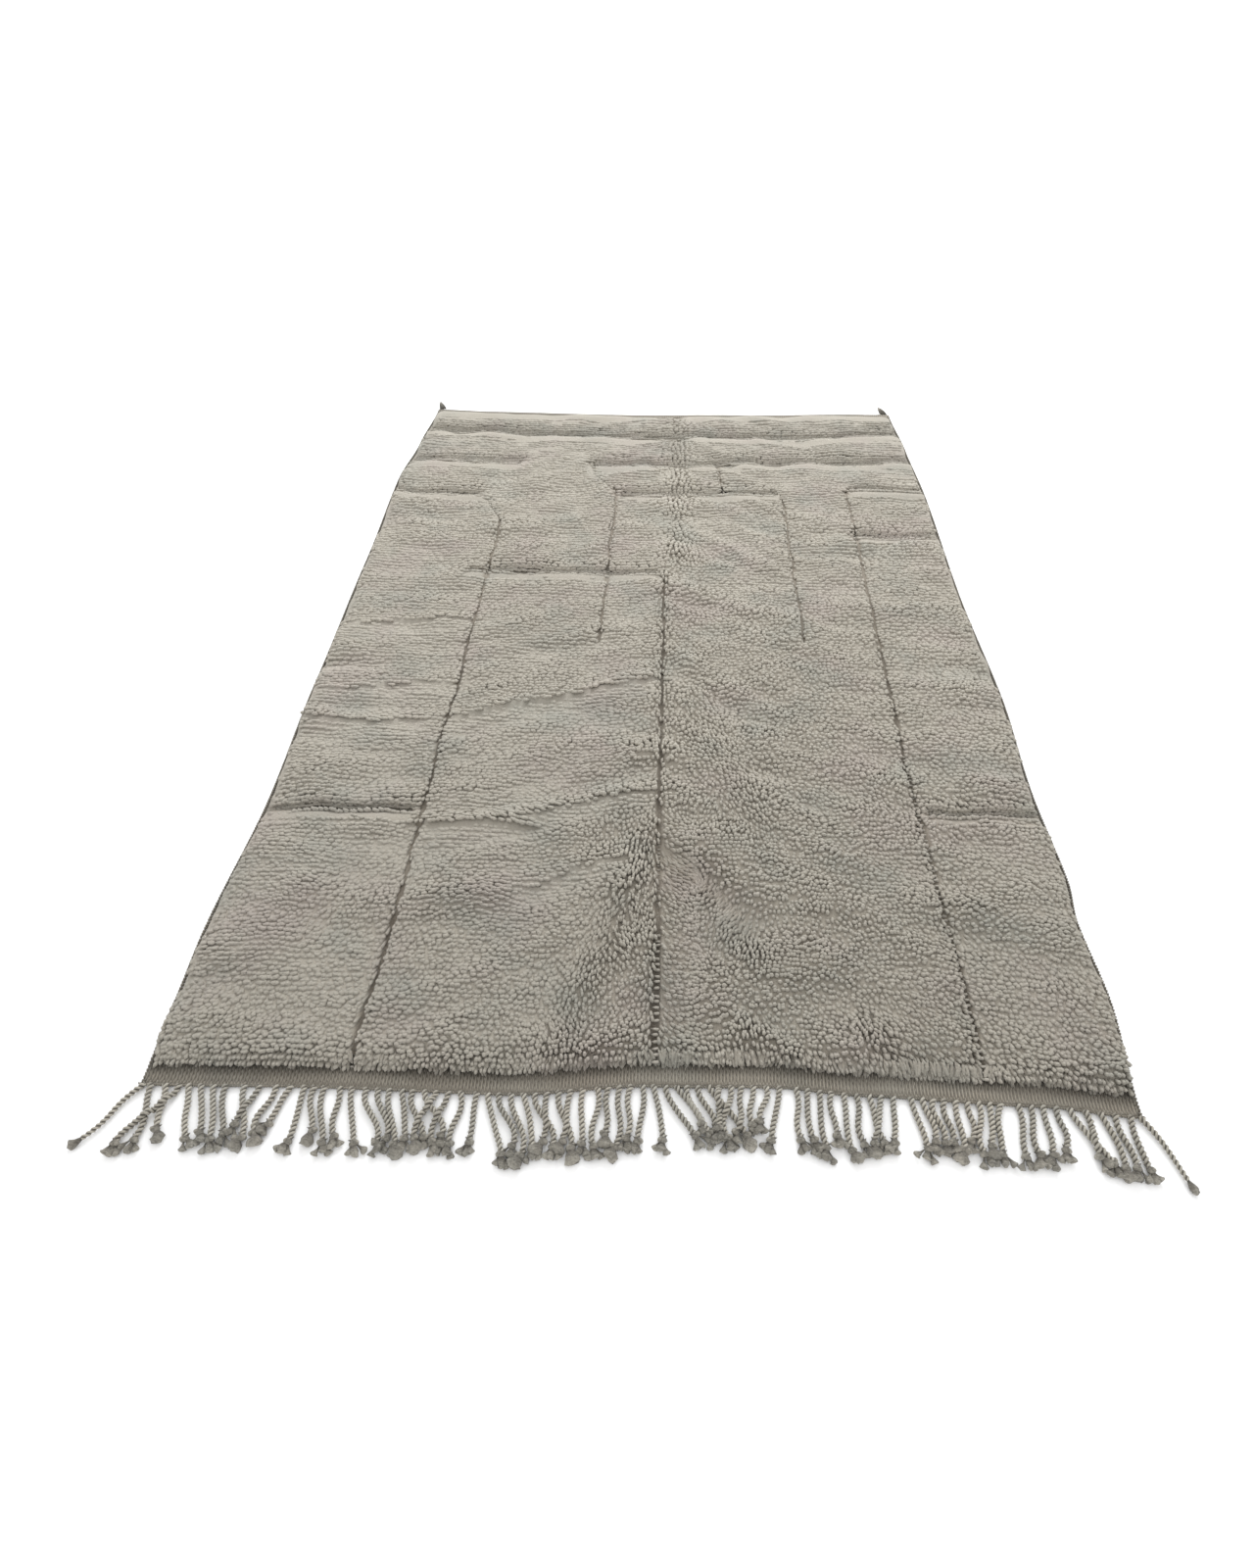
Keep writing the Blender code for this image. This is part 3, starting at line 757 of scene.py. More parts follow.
def lobe_tree():
    """Sets a closed, round-ended lobe on each point of a cloud, and makes them all one uneven mesh."""
    tree, given, result = new_group(
        "GeometryNodeTree",
        "wool_lobes",
        [
            ("Points", "NodeSocketGeometry", None),
            ("Sides", "NodeSocketInt", 5),
            ("Rings", "NodeSocketInt", 3),
            ("Fullness", "NodeSocketFloat", 0.43),
            ("Root Width", "NodeSocketFloat", 0.9),
            ("Unevenness", "NodeSocketFloat", 0.001),
            ("Grain", "NodeSocketFloat", 0.008),
            ("Lowest", "NodeSocketFloat", 0.0006),
            ("Wool", "NodeSocketMaterial", None),
        ],
        [("Geometry", "NodeSocketGeometry")],
    )
    position = put(tree, "GeometryNodeInputPosition").outputs[0]
    apart = put(tree, "ShaderNodeSeparateXYZ", (), {0: position}).outputs

    # A ball, drawn out to a lobe with its root at the origin and its tip one unit up
    inputs = {"Segments": given.outputs["Sides"], "Rings": given.outputs["Rings"], "Radius": 1.0}
    ball = put(tree, "GeometryNodeMeshUVSphere", (), inputs)
    share = reckon(tree, "MULTIPLY_ADD", apart["Z"], 0.5, 0.5)
    up = reckon(tree, "POWER", share, given.outputs["Fullness"])
    spare = reckon(tree, "SUBTRACT", 1.0, given.outputs["Root Width"])
    width = reckon(tree, "MULTIPLY_ADD", share, spare, given.outputs["Root Width"])
    x = reckon(tree, "MULTIPLY", apart["X"], width)
    y = reckon(tree, "MULTIPLY", apart["Y"], width)
    lobe = keep(tree, ball.outputs["Mesh"], "OFBake", ball.outputs["UV Map"], "FLOAT2", "CORNER")
    lobe = move(tree, lobe, Position=combine(tree, x, y, up))
    lobe = keep(tree, lobe, "raised", apart["Z"], "FLOAT")
    lobe = keep(tree, lobe, "fibre", position)

    turn = put(tree, "FunctionNodeEulerToRotation", (), {0: stored(tree, "turn")}).outputs[0]
    size = stored(tree, "size")
    inputs = {"Points": given.outputs["Points"], "Instance": lobe, "Rotation": turn, "Scale": size}
    lobes = put(tree, "GeometryNodeInstanceOnPoints", (), inputs).outputs[0]
    lobes = put(tree, "GeometryNodeRealizeInstances", (), {0: lobes}).outputs[0]

    # Tips are pulled off the straight, and the whole is a little uneven
    along = stored(tree, "raised", "FLOAT")
    bent = vector_step(tree, "SCALE", stored(tree, "pull"), scale=reckon(tree, "POWER", along, 2.0))
    lobes = move(tree, lobes, Offset=bent)
    fineness = reckon(tree, "DIVIDE", 1.0, given.outputs["Grain"])
    rough = put(tree, "ShaderNodeTexNoise", (), {"Vector": position, "Scale": fineness, "Detail": 1.0})
    off_middle = vector_step(tree, "SUBTRACT", rough.outputs["Color"], (0.5, 0.5, 0.5))
    amount = reckon(tree, "MULTIPLY", reckon(tree, "MULTIPLY", given.outputs["Unevenness"], 3.0), along)
    lobes = move(tree, lobes, Offset=vector_step(tree, "SCALE", off_middle, scale=amount))
    lowest = reckon(tree, "MAXIMUM", apart["Z"], given.outputs["Lowest"])
    lobes = move(tree, lobes, Position=combine(tree, apart["X"], apart["Y"], lowest))

    # Fibre coordinates in metres along each lobe, and a map with a cell for each lobe
    cell = stored(tree, "cell")
    real = vector_step(tree, "MULTIPLY", stored(tree, "fibre"), size)
    own = vector_step(tree, "MULTIPLY", cell, (9.0, 9.0, 9.0))
    lobes = keep(tree, lobes, "fibre", vector_step(tree, "ADD", real, own))
    cell_width = put(tree, "ShaderNodeSeparateXYZ", (), {0: cell}).outputs["Z"]
    filled = reckon(tree, "MULTIPLY", cell_width, 1.0 - 2 * CELL_MARGIN)
    inside = vector_step(tree, "SCALE", stored(tree, "OFBake"), scale=filled)
    margin = reckon(tree, "MULTIPLY", cell_width, CELL_MARGIN)
    corner = vector_step(tree, "ADD", cell, combine(tree, margin, margin))
    lobes = keep(tree, lobes, "OFBake", vector_step(tree, "ADD", corner, inside), "FLOAT2", "CORNER")
    hand_over(tree, lobes, given, result)
    return tree


LOBE_TREE = lobe_tree()
LOBE_LEFTOVERS = ("turn", "size", "pull", "cell")


def made_by_nodes(source, tree, values, leftovers):
    """Runs a node tree on an object, and puts its result in the object's place as a plain mesh."""
    bpy.context.scene.collection.objects.link(source)
    modifier = source.modifiers.new(tree.name, "NODES")
    modifier.node_group = tree
    for item in tree.interface.items_tree:
        if item.in_out == "INPUT" and item.name in values:
            modifier[item.identifier] = values[item.name]
    seen = source.evaluated_get(bpy.context.evaluated_depsgraph_get())
    mesh = bpy.data.meshes.new_from_object(seen)
    source.modifiers.clear()
    source.data = mesh
    mesh.name = source.name
    for name in leftovers:
        if name in mesh.attributes:
            mesh.attributes.remove(mesh.attributes[name])
    return source


def set_values(mesh, name, values):
    """Stores a number on each point of a mesh."""
    attribute = mesh.attributes.new(name, "FLOAT", "POINT")
    attribute.data.foreach_set("value", np.array(values, np.float32))


def grow(name, lobes, wool, **values):
    """One object with a lobe of wool for each row of a list."""
    mesh = bpy.data.meshes.new(name)
    mesh.from_pydata([lobe.place for lobe in lobes], [], [])
    side_cells = math.ceil(math.sqrt(len(lobes)))
    cells = []
    for i in range(len(lobes)):
        cells.append((i % side_cells / side_cells, i // side_cells / side_cells, 1 / side_cells))
    columns = {
        "turn": [lobe.turn for lobe in lobes],
        "size": [lobe.size for lobe in lobes],
        "pull": [lobe.pull for lobe in lobes],
        "cell": cells,
    }
    for label, rows in columns.items():
        attribute = mesh.attributes.new(label, "FLOAT_VECTOR", "POINT")
        attribute.data.foreach_set("vector", np.array(rows, np.float32).ravel())
    for label in ("tone", "soft"):
        set_values(mesh, label, [getattr(lobe, label) for lobe in lobes])
    thing = bpy.data.objects.new(name, mesh)
    return made_by_nodes(thing, LOBE_TREE, {"Wool": wool, **values}, LOBE_LEFTOVERS)


PILE_CREAM = (0.364, 0.339, 0.290, 1.0)
PILE_ROSE = (0.352, 0.312, 0.279, 1.0)
PILE_SAGE = (0.305, 0.300, 0.262, 1.0)
PILE_HOLLOW_SHADE = (0.150, 0.114, 0.079, 1.0)
WISP_SCALE = 210.0
WOOL_RELIEF = 0.0012


def wool_material(name, colours, deep, hollow, fibre, fluff=0.0):
    """Undyed wool: a main tone with faint patches of two others, uneven from strand to strand, with painted
    shade of the deep colour in the hollows. The hollow gives the shares of its height where the painted shade
    starts and ends, and its strength. The fibre has a width and a length. Fluff is how strongly fine wisps
    show on it."""
    material, tree, shader, fibres = new_material(name, 0.93, fibre)
    place = put(tree, "ShaderNodeTexCoord").outputs["Object"]
    flat = vector_step(tree, "MULTIPLY", place, (1.0, 1.0, 0.0))

    def patches(scale, low, high, offset):
        moved = vector_step(tree, "ADD", flat, (offset, offset, 0.0))
        cloud = put(tree, "ShaderNodeTexNoise", (), {"Vector": moved, "Scale": scale, "Detail": 4.0})
        return reckon(tree, "MULTIPLY", stretch_range(tree, cloud.outputs["Fac"], low, high), 0.75)

    def carried(attribute, output="Fac"):
        return put(tree, "ShaderNodeAttribute", {"attribute_name": attribute}).outputs[output]

    colour = blend_colours(tree, patches(5.0, 0.50, 0.68, 3.0), colours[0], colours[1])
    colour = blend_colours(tree, patches(7.0, 0.50, 0.70, 7.0), colour, colours[2])
    depth = stretch_range(tree, carried("raised"), *hollow)
    depth = reckon(tree, "MULTIPLY", depth, reckon(tree, "SUBTRACT", 1.0, carried("soft")))
    colour = blend_colours(tree, depth, colour, deep)
    tree.links.new(carried("fibre", "Vector"), fibres.inputs["Vector"])
    bright = reckon(tree, "MULTIPLY_ADD", fibres.outputs["Tone"], 0.22, 0.89)
    bright = reckon(tree, "MULTIPLY", carried("tone"), bright)
    relief = fibres.outputs["Height"]
    if fluff:
        stretched = vector_step(tree, "MULTIPLY", place, (1.0, 1.7, 1.0))
        inputs = {"Vector": stretched, "Scale": WISP_SCALE, "Detail": 3.0, "Roughness": 0.6}
        wisps = put(tree, "ShaderNodeTexNoise", (), inputs).outputs["Fac"]
        relief = reckon(tree, "MULTIPLY_ADD", wisps, 3.0 * fluff, relief)
        lift = reckon(tree, "MULTIPLY_ADD", wisps, 0.50 * fluff, 1.0 - 0.25 * fluff)
        bright = reckon(tree, "MULTIPLY", bright, lift)
    grey = put(tree, "ShaderNodeCombineColor", (), {0: bright, 1: bright, 2: bright}).outputs[0]
    tree.links.new(blend_colours(tree, 1.0, colour, grey, "MULTIPLY"), shader.inputs["Base Color"])
    raise_bump(tree, shader, relief, WOOL_RELIEF, 0.7)
    return material


pile_wool = wool_material(
    "pile_wool",
    (PILE_CREAM, PILE_ROSE, PILE_SAGE),
    PILE_HOLLOW_SHADE,
    hollow=(0.90, 0.40, 0.55),
    fibre=(0.0011, 0.0090),
    fluff=0.9,
)


def streak_at(x, y):
    """The dips between strands that were brushed together, in streaks across the rug."""
    return max(patchy(x / 0.055, y / 0.016, 12.0), 0.0)


def painted_shade_at(spot):
    """Painted shade on the wool's tone: darker down the slope into a crosswise groove and a little on the lip
    before it, and a touch lighter towards the near end.
    """
    return 1.0 - 0.18 * spot.slope**3 - 0.09 * spot.lip + 0.02 * spot.near


def tuft(x, y, pitch, chance):
    """The tuft knotted at a point, or none inside a groove. The pitch is that of the tufts and the rows."""
    luck = [chance.random() for _ in range(LUCKY_NUMBERS)]
    spot = spot_at(x, y)
    if spot.clear < 0.0:
        return None
    brushed = brushed_share(x, y)
    top = spot.top + mixed(0.0020, 0.0008, brushed) * (luck[0] - 0.5) * 2
    top -= STREAK_DROP * brushed * streak_at(x, y)

    # The usual lean, aside and forward, and what folds and hands made of it
    aside = 0.55 * patchy(x / 0.20, y / 0.15, 2.0) + mixed(0.50, 0.20, brushed) * (luck[1] - 0.5)
    upright = 0.0
    for opening in OPENINGS:
        away = off_stretch(opening, x, y)
        share = near_share(opening, away)
        aside += opening.spread * share * math.copysign(min(abs(away) / opening.reach, 1.0), away) * 1.6
        upright = max(upright, opening.upright * share)
    flat = 0.0
    for stroke in STROKES:
        share = near_share(stroke, off_stretch(stroke, x, y))
        aside += stroke.aside * share
        flat = max(flat, stroke.flat * share)
    forward = mixed(1.0, 0.35, upright)
    length = mixed(STANDING_LENGTH, BRUSHED_LENGTH, brushed)
    length = mixed(length, OPEN_LENGTH, upright * (1.0 - flat))
    length = mixed(length, FLAT_LENGTH, flat)

    # Beyond a crosswise groove the pile slopes down to the cloth; before it, it ends in a full lip. It
    # stands straight and close along both, rolls over at the sides and hangs over the bare weave at the near
    # end.
    length = mixed(length, SLOPE_LENGTH, spot.slope)
    length = mixed(length, LIP_LENGTH, spot.lip)
    length = mixed(length, FAR_LENGTH, spot.far)
    length = mixed(length, NEAR_LENGTH, spot.near)
    forward = mixed(forward, 0.15, spot.lip)
    calm = max(mixed(0.4, 1.0, eased((y + 0.40) / 0.30)) * spot.seam, spot.lip, 0.7 * spot.slope)
    aside *= 1.0 - 0.72 * calm
    aside -= 0.15 * spot.rim_side * spot.rim
    forward += 0.6 * spot.near

    # Its tip lies on the pile's surface where it ends, which may be higher or lower than over its root
    length = max(length * (1.0 + mixed(0.07, 0.03, brushed) * (2 * luck[2] - 1.0)), SHORTEST)
    heading = math.atan2(aside, forward)
    reach = math.sqrt(max(length**2 - (top - ROOT_HEIGHT) ** 2, 0.0))
    if spot.edge < reach:
        furthest = math.asin(max(spot.edge - 0.006, 0.0) / reach)
        heading = spot.rim_side * min(spot.rim_side * heading, furthest)
    over = (x + math.sin(heading) * reach, y - math.cos(heading) * reach)
    top += (pile_height(*over) - spot.plain) * (1.0 - spot.slope)
    steep = min(max((top - ROOT_HEIGHT) / length, 0.12), 0.985)
    lean = math.acos(steep)
    wide = pitch[0] * mixed(0.62, 1.35, brushed**1.5) * mixed(0.86, 1.16, luck[3])
    deep = pitch[1] * mixed(0.54, 0.44, brushed) * mixed(0.90, 1.12, luck[4])
    clump = noise.noise_vector(Vector((x / CLUMP_SIZE, y / CLUMP_SIZE, 5.0)))
    pull = clump * CLUMP_PULL * mixed(1.0, 0.4, brushed) * (1.0 - calm)
    droop = TIP_DROOP * lean
    rows = row_share(x, y)
    wide *= mixed(1.0, 1.10, rows) if rows > 0.0 else mixed(1.0, 0.74, -rows)
    deep *= mixed(1.0, 0.86, rows) if rows > 0.0 else mixed(1.0, 1.20, -rows)
    wide *= mixed(1.0, 0.86, upright)
    deep *= mixed(1.0, 1.35, upright)
    wide = mixed(wide, mixed(*SEAM_WIDTH, luck[7]), spot.seam**4)
    wide = mixed(wide, mixed(*NEAR_WIDTH, luck[7]), min(1.2 * spot.near, 1.0))
    wide = mixed(wide, min(wide, SIDE_WIDTH), min(1.5 * spot.rim, 1.0))
    deep = mixed(deep, LIP_TUFT, spot.lip**2)
    grey = 0.5 + 0.5 * patchy(x / 0.020, y / 0.020, 6.0)
    uneven = (0.55 * luck[5] + 0.45 * grey - 0.5) * mixed(0.20, 0.08, brushed)
    # Random tone from tuft to tuft, with painted light along the length and painted shade down into the
    # grooves
    tone = (1.0 + uneven) * mixed(1.03, 0.95, brushed) * follow(LENGTHWISE_PAINTED_LIGHT, y) * painted_shade_at(spot)
    # Painted highlight along the crests of steep folds
    tone *= 1.0 + 0.12 * max(folds_at(*over)[1] - 0.4, 0.0)
    return Lobe(
        (x, y, ROOT_HEIGHT),
        (lean, 0.0, heading),
        (wide, deep, length),
        (pull.x, pull.y, pull.z * 0.4 - droop),
        tone,
        0.85 * max(brushed**2, spot.slope, 0.6 * spot.lip, 0.7 * spot.near),
    )


def pile_tufts():
    """Every tuft of the rug, row by row from the near end."""
    chance = random.Random(PILE_SEED)
    found = []
    gone = 0.0
    odd = False
    length = RUG_LENGTH - NEAR_BAND - FAR_HEM - LOCK_DEPTH - FAR_INSET
    while gone <= length:
        share = gone / length
        pitch = (mixed(*TUFT_PITCH, share), mixed(*ROW_PITCH, share))
        count = round((side(0.0, 1) - side(0.0, -1) - 2 * SIDE_INSET) / pitch[0])
        for i in range(count + 1):
            x = mixed(-RUG_WIDTH / 2, RUG_WIDTH / 2, i / count)
            start = near_end(x) + NEAR_BAND + LOCK_DEPTH
            end = far_end(x) - FAR_HEM - FAR_INSET
            y = mixed(start, end, share)
            chains = max(-row_share(x, y), 0.0)
            along_row = (i + (0.5 * (1.0 - chains) if odd else 0.0)) / (count + 0.5)
            x = mixed(side(y, -1) + SIDE_INSET, side(y, 1) - SIDE_INSET, along_row)
            brushed = brushed_share(x, y)
            wave = ROW_WAVE * patchy(x / mixed(0.07, 0.12, brushed), y / 0.035, 1.0)
            loose = mixed(0.20, 0.36, brushed) * (1.0 - 0.6 * chains)
            x += pitch[0] * loose * (chance.random() - 0.5) * 2
            x += CHAIN_WAVE * chains * patchy(x / 0.030, y / 0.045, 16.0)
            y += wave + pitch[1] * mixed(0.14, 0.07, brushed) * (chance.random() - 0.5) * 2
            x = beside_groove(LENGTHWISE, y, x, pitch[0], SEAM_LOOSE * chance.random() ** 2)
            y = beside_groove(CROSSWISE, x, min(max(y, start), end), pitch[1])
            grown = tuft(x, y, pitch, chance)
            if grown:
                found.append(grown)
        gone += pitch[1]
        odd = not odd
    return found


# Where the panels of the pile end along the length, for their names
NEAR_LINE = -0.655
MIDDLE_LINE = 0.22
FAR_BANDS = 0.85


def panel_of(lobe):
    """The panel of the pile that a tuft belongs to, by the grooves around it."""
    x, y, _ = lobe.place
    if y > FAR_BANDS:
        return "pile_far_bands"
    if y > MIDDLE_LINE:
        return "pile_upper_left" if x < middle_of(LENGTHWISE[2], y) else "pile_upper_right"
    part = "pile_middle" if y > NEAR_LINE else "pile_near"
    if x < middle_of(LENGTHWISE[0], y):
        return part + "_left_strip"
    if x > middle_of(LENGTHWISE[5], y):
        return part + "_right_strip"
    return part + ("_left_panel" if x < middle_of(LENGTHWISE[2], y) else "_right_panel")


def attach(piece, nodes):
    """Ties a finished piece to the rug's body, and hides the solids it stands for."""
    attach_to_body(piece, "root")
    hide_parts(*nodes)


panels = {}
for one in pile_tufts():
    panels.setdefault(panel_of(one), []).append(one)
for panel, tufts in sorted(panels.items()):
    attach(grow(panel, tufts, pile_wool, Unevenness=0.0009, Grain=0.0070), ["rug"])


# The bed of the pile: lower down the tufts stand so close that they felt together. One lumpy body of matted
# wool fills the foot of the pile. It reaches almost up to the tips where the pile is brushed, stays deep
# down where the tufts stand clear, and drops to the cloth in the grooves.
BED_STEP = (0.0150, 0.0135)
BED_LIPS = (0.0028, 0.0062, 0.0110)
BED_SHARE = (0.72, 0.89)
# How much of the tufts' light colour the bed keeps where the pile stands clear and where it is brushed: the
# rest is painted shade
BED_RAISED = (0.60, 0.78)
BED_FOOT = 0.0030
BED_RISE = 0.0048
SLOPE_BED = 0.97
BED_INSET = 0.004
BED_ENDS = (0.012, 0.002)
STREAK_DEPTH = 0.14
OPEN_DEPTH = 0.34
LADDER_BED = 0.5

# How much painted shade darkens the bed in the lengthwise seams, up to where the near part ends: the middle
# one and the others
MIDDLE_REACH = 0.1
SEAM_PAINTED_SHADE = (0.28, 0.08)
NEAR_PART = (-0.30, 0.60)


def set_strands(mesh, raised, tones):
    """The attributes that wool materials read, on a mesh that no node tree made."""
    places = np.zeros(len(mesh.vertices) * 3, np.float32)
    mesh.vertices.foreach_get("co", places)
    mesh.attributes.new("fibre", "FLOAT_VECTOR", "POINT").data.foreach_set("vector", places)
    set_values(mesh, "raised", raised)
    set_values(mesh, "tone", tones)


def bed_at(x, y):
    """The bed's height at a point, how much of the tufts' light colour it has there, the rest being painted
    shade, and its tone, which carries painted shade in the seams and down groove slopes.
    """
    spot = spot_at(x, y)
    brushed = brushed_share(x, y)
    share = mixed(*BED_SHARE, brushed) - STREAK_DEPTH * streak_at(x, y) + 0.05 * eased((y - 0.70) / 0.20)
    share -= OPEN_DEPTH * max(one.upright * near_share(one, off_stretch(one, x, y)) for one in OPENINGS)
    share = mixed(share, SLOPE_BED, 0.8 * spot.slope)
    past_near = eased((y - NEAR_PART[0]) / NEAR_PART[1])
    closed = mixed(SEAM_FLOOR, 0.80, past_near) * spot.seam * (1.0 - max(spot.slope, spot.lip))
    if y < LADDER_START:
        closed *= LADDER_BED
    share *= mixed(closed, 1.0, eased((spot.clear + 0.0010) / BED_RISE))
    around = min(pile_height(x, y + step) for step in (-0.009, 0.009))
    top = spot.top + min(around - spot.plain, 0.0)
    # Painted shade: less of the tufts' light colour, and less still beside the grooves
    light = mixed(*BED_RAISED, brushed) * mixed(0.45, 1.0, eased(spot.clear / 0.006))
    dark = SEAM_PAINTED_SHADE[0 if abs(x) < MIDDLE_REACH else 1] * (1.0 - past_near) * spot.seam**6
    return max(mixed(BED_FOOT, top, share), BED_FOOT), light, painted_shade_at(spot) * (1.0 - dark)


def grid_shares(grooves, low, high, step):
    """Places between the lines of a grid, each as a line's number plus a share of the way to the next line.
    They stand close together beside the lines, where the grooves have their lips."""
    middles = [low] + [follow(groove.places, 0.0) for groove in grooves] + [high]
    shares = []
    for k, (start, end) in enumerate(zip(middles, middles[1:])):
        width = end - start
        lips = [0.0] + [lip / width for lip in BED_LIPS]
        count = max(round((1.0 - 2 * lips[-1]) * width / step), 1)
        inner = [mixed(lips[-1], 1.0 - lips[-1], i / count) for i in range(1, count)]
        shares += [k + share for share in lips + inner + [1.0 - lip for lip in lips[:0:-1]]]
    return shares + [float(len(middles) - 1)]


def along_grid(lines, place, at):
    """Where a grid place lies, given the lines and where they are crossed."""
    k = min(int(place), len(lines) - 2)
    return mixed(lines[k](at), lines[k + 1](at), place - k)


def pile_bed():
    mesh_tool = bmesh.new()
    columns = [lambda y: side(y, -1) + BED_INSET]
    columns += [lambda y, line=groove: middle_of(line, y) for groove in LENGTHWISE]
    columns += [lambda y: side(y, 1) - BED_INSET]
    rows = [lambda x: near_end(x) + NEAR_BAND + BED_ENDS[0]]
    rows += [lambda x, line=groove: middle_of(line, x) for groove in CROSSWISE]
    rows += [lambda x: far_end(x) - FAR_HEM - BED_ENDS[1]]
    across = grid_shares(LENGTHWISE, -RUG_WIDTH / 2, RUG_WIDTH / 2, BED_STEP[0])
    along = grid_shares(CROSSWISE, -RUG_LENGTH / 2 + NEAR_BAND, RUG_LENGTH / 2 - FAR_HEM, BED_STEP[1])
    grid = []
    raised, tones = [], []
    for j, v in enumerate(along):
        row = []
        for i, u in enumerate(across):
            x, y = 0.0, 0.0
            for _ in range(3):
                y = along_grid(rows, v, x)
                x = along_grid(columns, u, y)
            height, light, tone = bed_at(x, y)
            inside = 0 < i < len(across) - 1 and 0 < j < len(along) - 1
            row.append(mesh_tool.verts.new((x, y, height if inside else BED_FOOT)))
            raised.append(light)
            tones.append(tone)
        grid.append(row)
    cover(mesh_tool, grid)
    mesh_tool.faces.new(rim_of(grid)[::-1])
    bed = finished("pile_bed", mesh_tool, pile_wool)
    set_strands(bed.data, raised, tones)
    return bed


attach(pile_bed(), ["rug"])


# Long locks along the near end of the pile: the last rows were never clipped. They are combed forward and
# roll over the pile's edge like a short fur, down to the woven band.
LOCK_PITCH = 0.0058
LOCK_ROWS = 3
LOCK_INSET = 0.010
LOCK_WIDTH = 0.0036
LOCK_THICKNESS = 0.0034
LOCK_SEED = 23

# Where the first and the last row of locks have their roots and tips: past the woven band, and above the
# floor
LOCK_ROOTS = (0.0120, 0.0200)
LOCK_ROOTS_UP = (0.0110, 0.0160)
LOCK_TIPS = (-0.0070, -0.0010)
LOCK_TIPS_UP = (0.0060, 0.0130)


def near_locks():
    """Locks in overlapping rows. Each runs from a root inside the pile to a tip further forward and down."""
    chance = random.Random(LOCK_SEED)
    locks = []
    left = side(-RUG_LENGTH / 2, -1) + LOCK_INSET
    right = side(-RUG_LENGTH / 2, 1) - LOCK_INSET
    count = round((RUG_WIDTH - 2 * LOCK_INSET) / LOCK_PITCH)
    for rank in range(LOCK_ROWS):
        level = rank / (LOCK_ROWS - 1)
        for i in range(count + 1):
            share = (i + 0.37 * rank % 1.0 + 0.4 * (chance.random() - 0.5)) / (count + 1.0)
            x = mixed(left, right, share)
            combed = patchy(x / 0.022, rank * 0.5, 9.0)
            edge = near_end(x) + NEAR_BAND
            y = edge + mixed(*LOCK_ROOTS, level) + 0.0040 * (chance.random() - 0.5)
            if nearest_groove(LENGTHWISE, y, x)[0] < 0.0:
                continue
            root_z = mixed(*LOCK_ROOTS_UP, level) + 0.0015 * combed
            tip_y = edge + mixed(*LOCK_TIPS, level) - 0.0040 * combed + 0.0080 * (chance.random() - 0.5)
            tip_z = mixed(*LOCK_TIPS_UP, level) + 0.0030 * (chance.random() - 0.5)
            aside = 0.90 * patchy(x / 0.05, 0.0, 3.0) + 0.60 * (chance.random() - 0.5)
            run = y - tip_y
            turn = (math.atan2(run, tip_z - root_z), 0.0, aside)
            length = math.hypot(run, root_z - tip_z) * 1.10
            size = (LOCK_WIDTH * mixed(0.75, 1.30, chance.random()), LOCK_THICKNESS, length)
            # Random tone, with painted shade darkening the lower rows of locks
            tone = mixed(0.82, 1.02, chance.random()) * mixed(0.80, 0.98, level)
            locks.append(Lobe((x, y, root_z), turn, size, (0.0016 * combed, 0.0, -0.0010), tone, 0.5))
    return locks


locks = grow("near_locks", near_locks(), pile_wool, Rings=4, Fullness=0.90, Unevenness=0.0008, Grain=0.006)
attach(locks, ["rug"])


# The wefts in the seams: where a lengthwise seam parts the pile, the pairs of weft that cross it lie bare,
# like the rungs of a ladder. In the wide crosswise seam the picks show as three wavy cords.
WEFT_COLOUR = (0.335, 0.312, 0.270, 1.0)
WEFT_HOLLOW_SHADE = (0.120, 0.108, 0.088, 1.0)
RUNG_SEED = 31

# A rung where the seam is narrow, and where it is so wide that the weft pairs lie bare near the pile's
# surface: the seams that are so, by their place in LENGTHWISE, with the y up to which they are
Rung = namedtuple("Rung", "pitch reach height width depth tone")
NARROW = Rung(0.0102, 0.0115, 0.0062, 0.0023, 0.0024, 0.90)
BARE = Rung(0.0120, 0.0160, 0.0130, 0.0034, 0.0036, 1.05)
BARE_UNTIL = {2: LADDER_START, 5: -0.46}

# The picks in the wide crosswise seam: how far apart their waves and their lines are, and one wave's size
PICK_PITCH = 0.0105
PICK_LINES = 0.0048
PICK_SWING = 0.0012
PICK_HEIGHT = 0.0055
PICK_SIZE = (0.0022, 0.0020, 0.0125)
PICK_INSETS = (0.012, 0.018)

weft_wool = wool_material(
    "weft_wool",
    (WEFT_COLOUR, WEFT_COLOUR, WEFT_COLOUR),
    WEFT_HOLLOW_SHADE,
    hollow=(0.55, 0.05, 0.80),
    fibre=(0.0010, 0.0060),
)


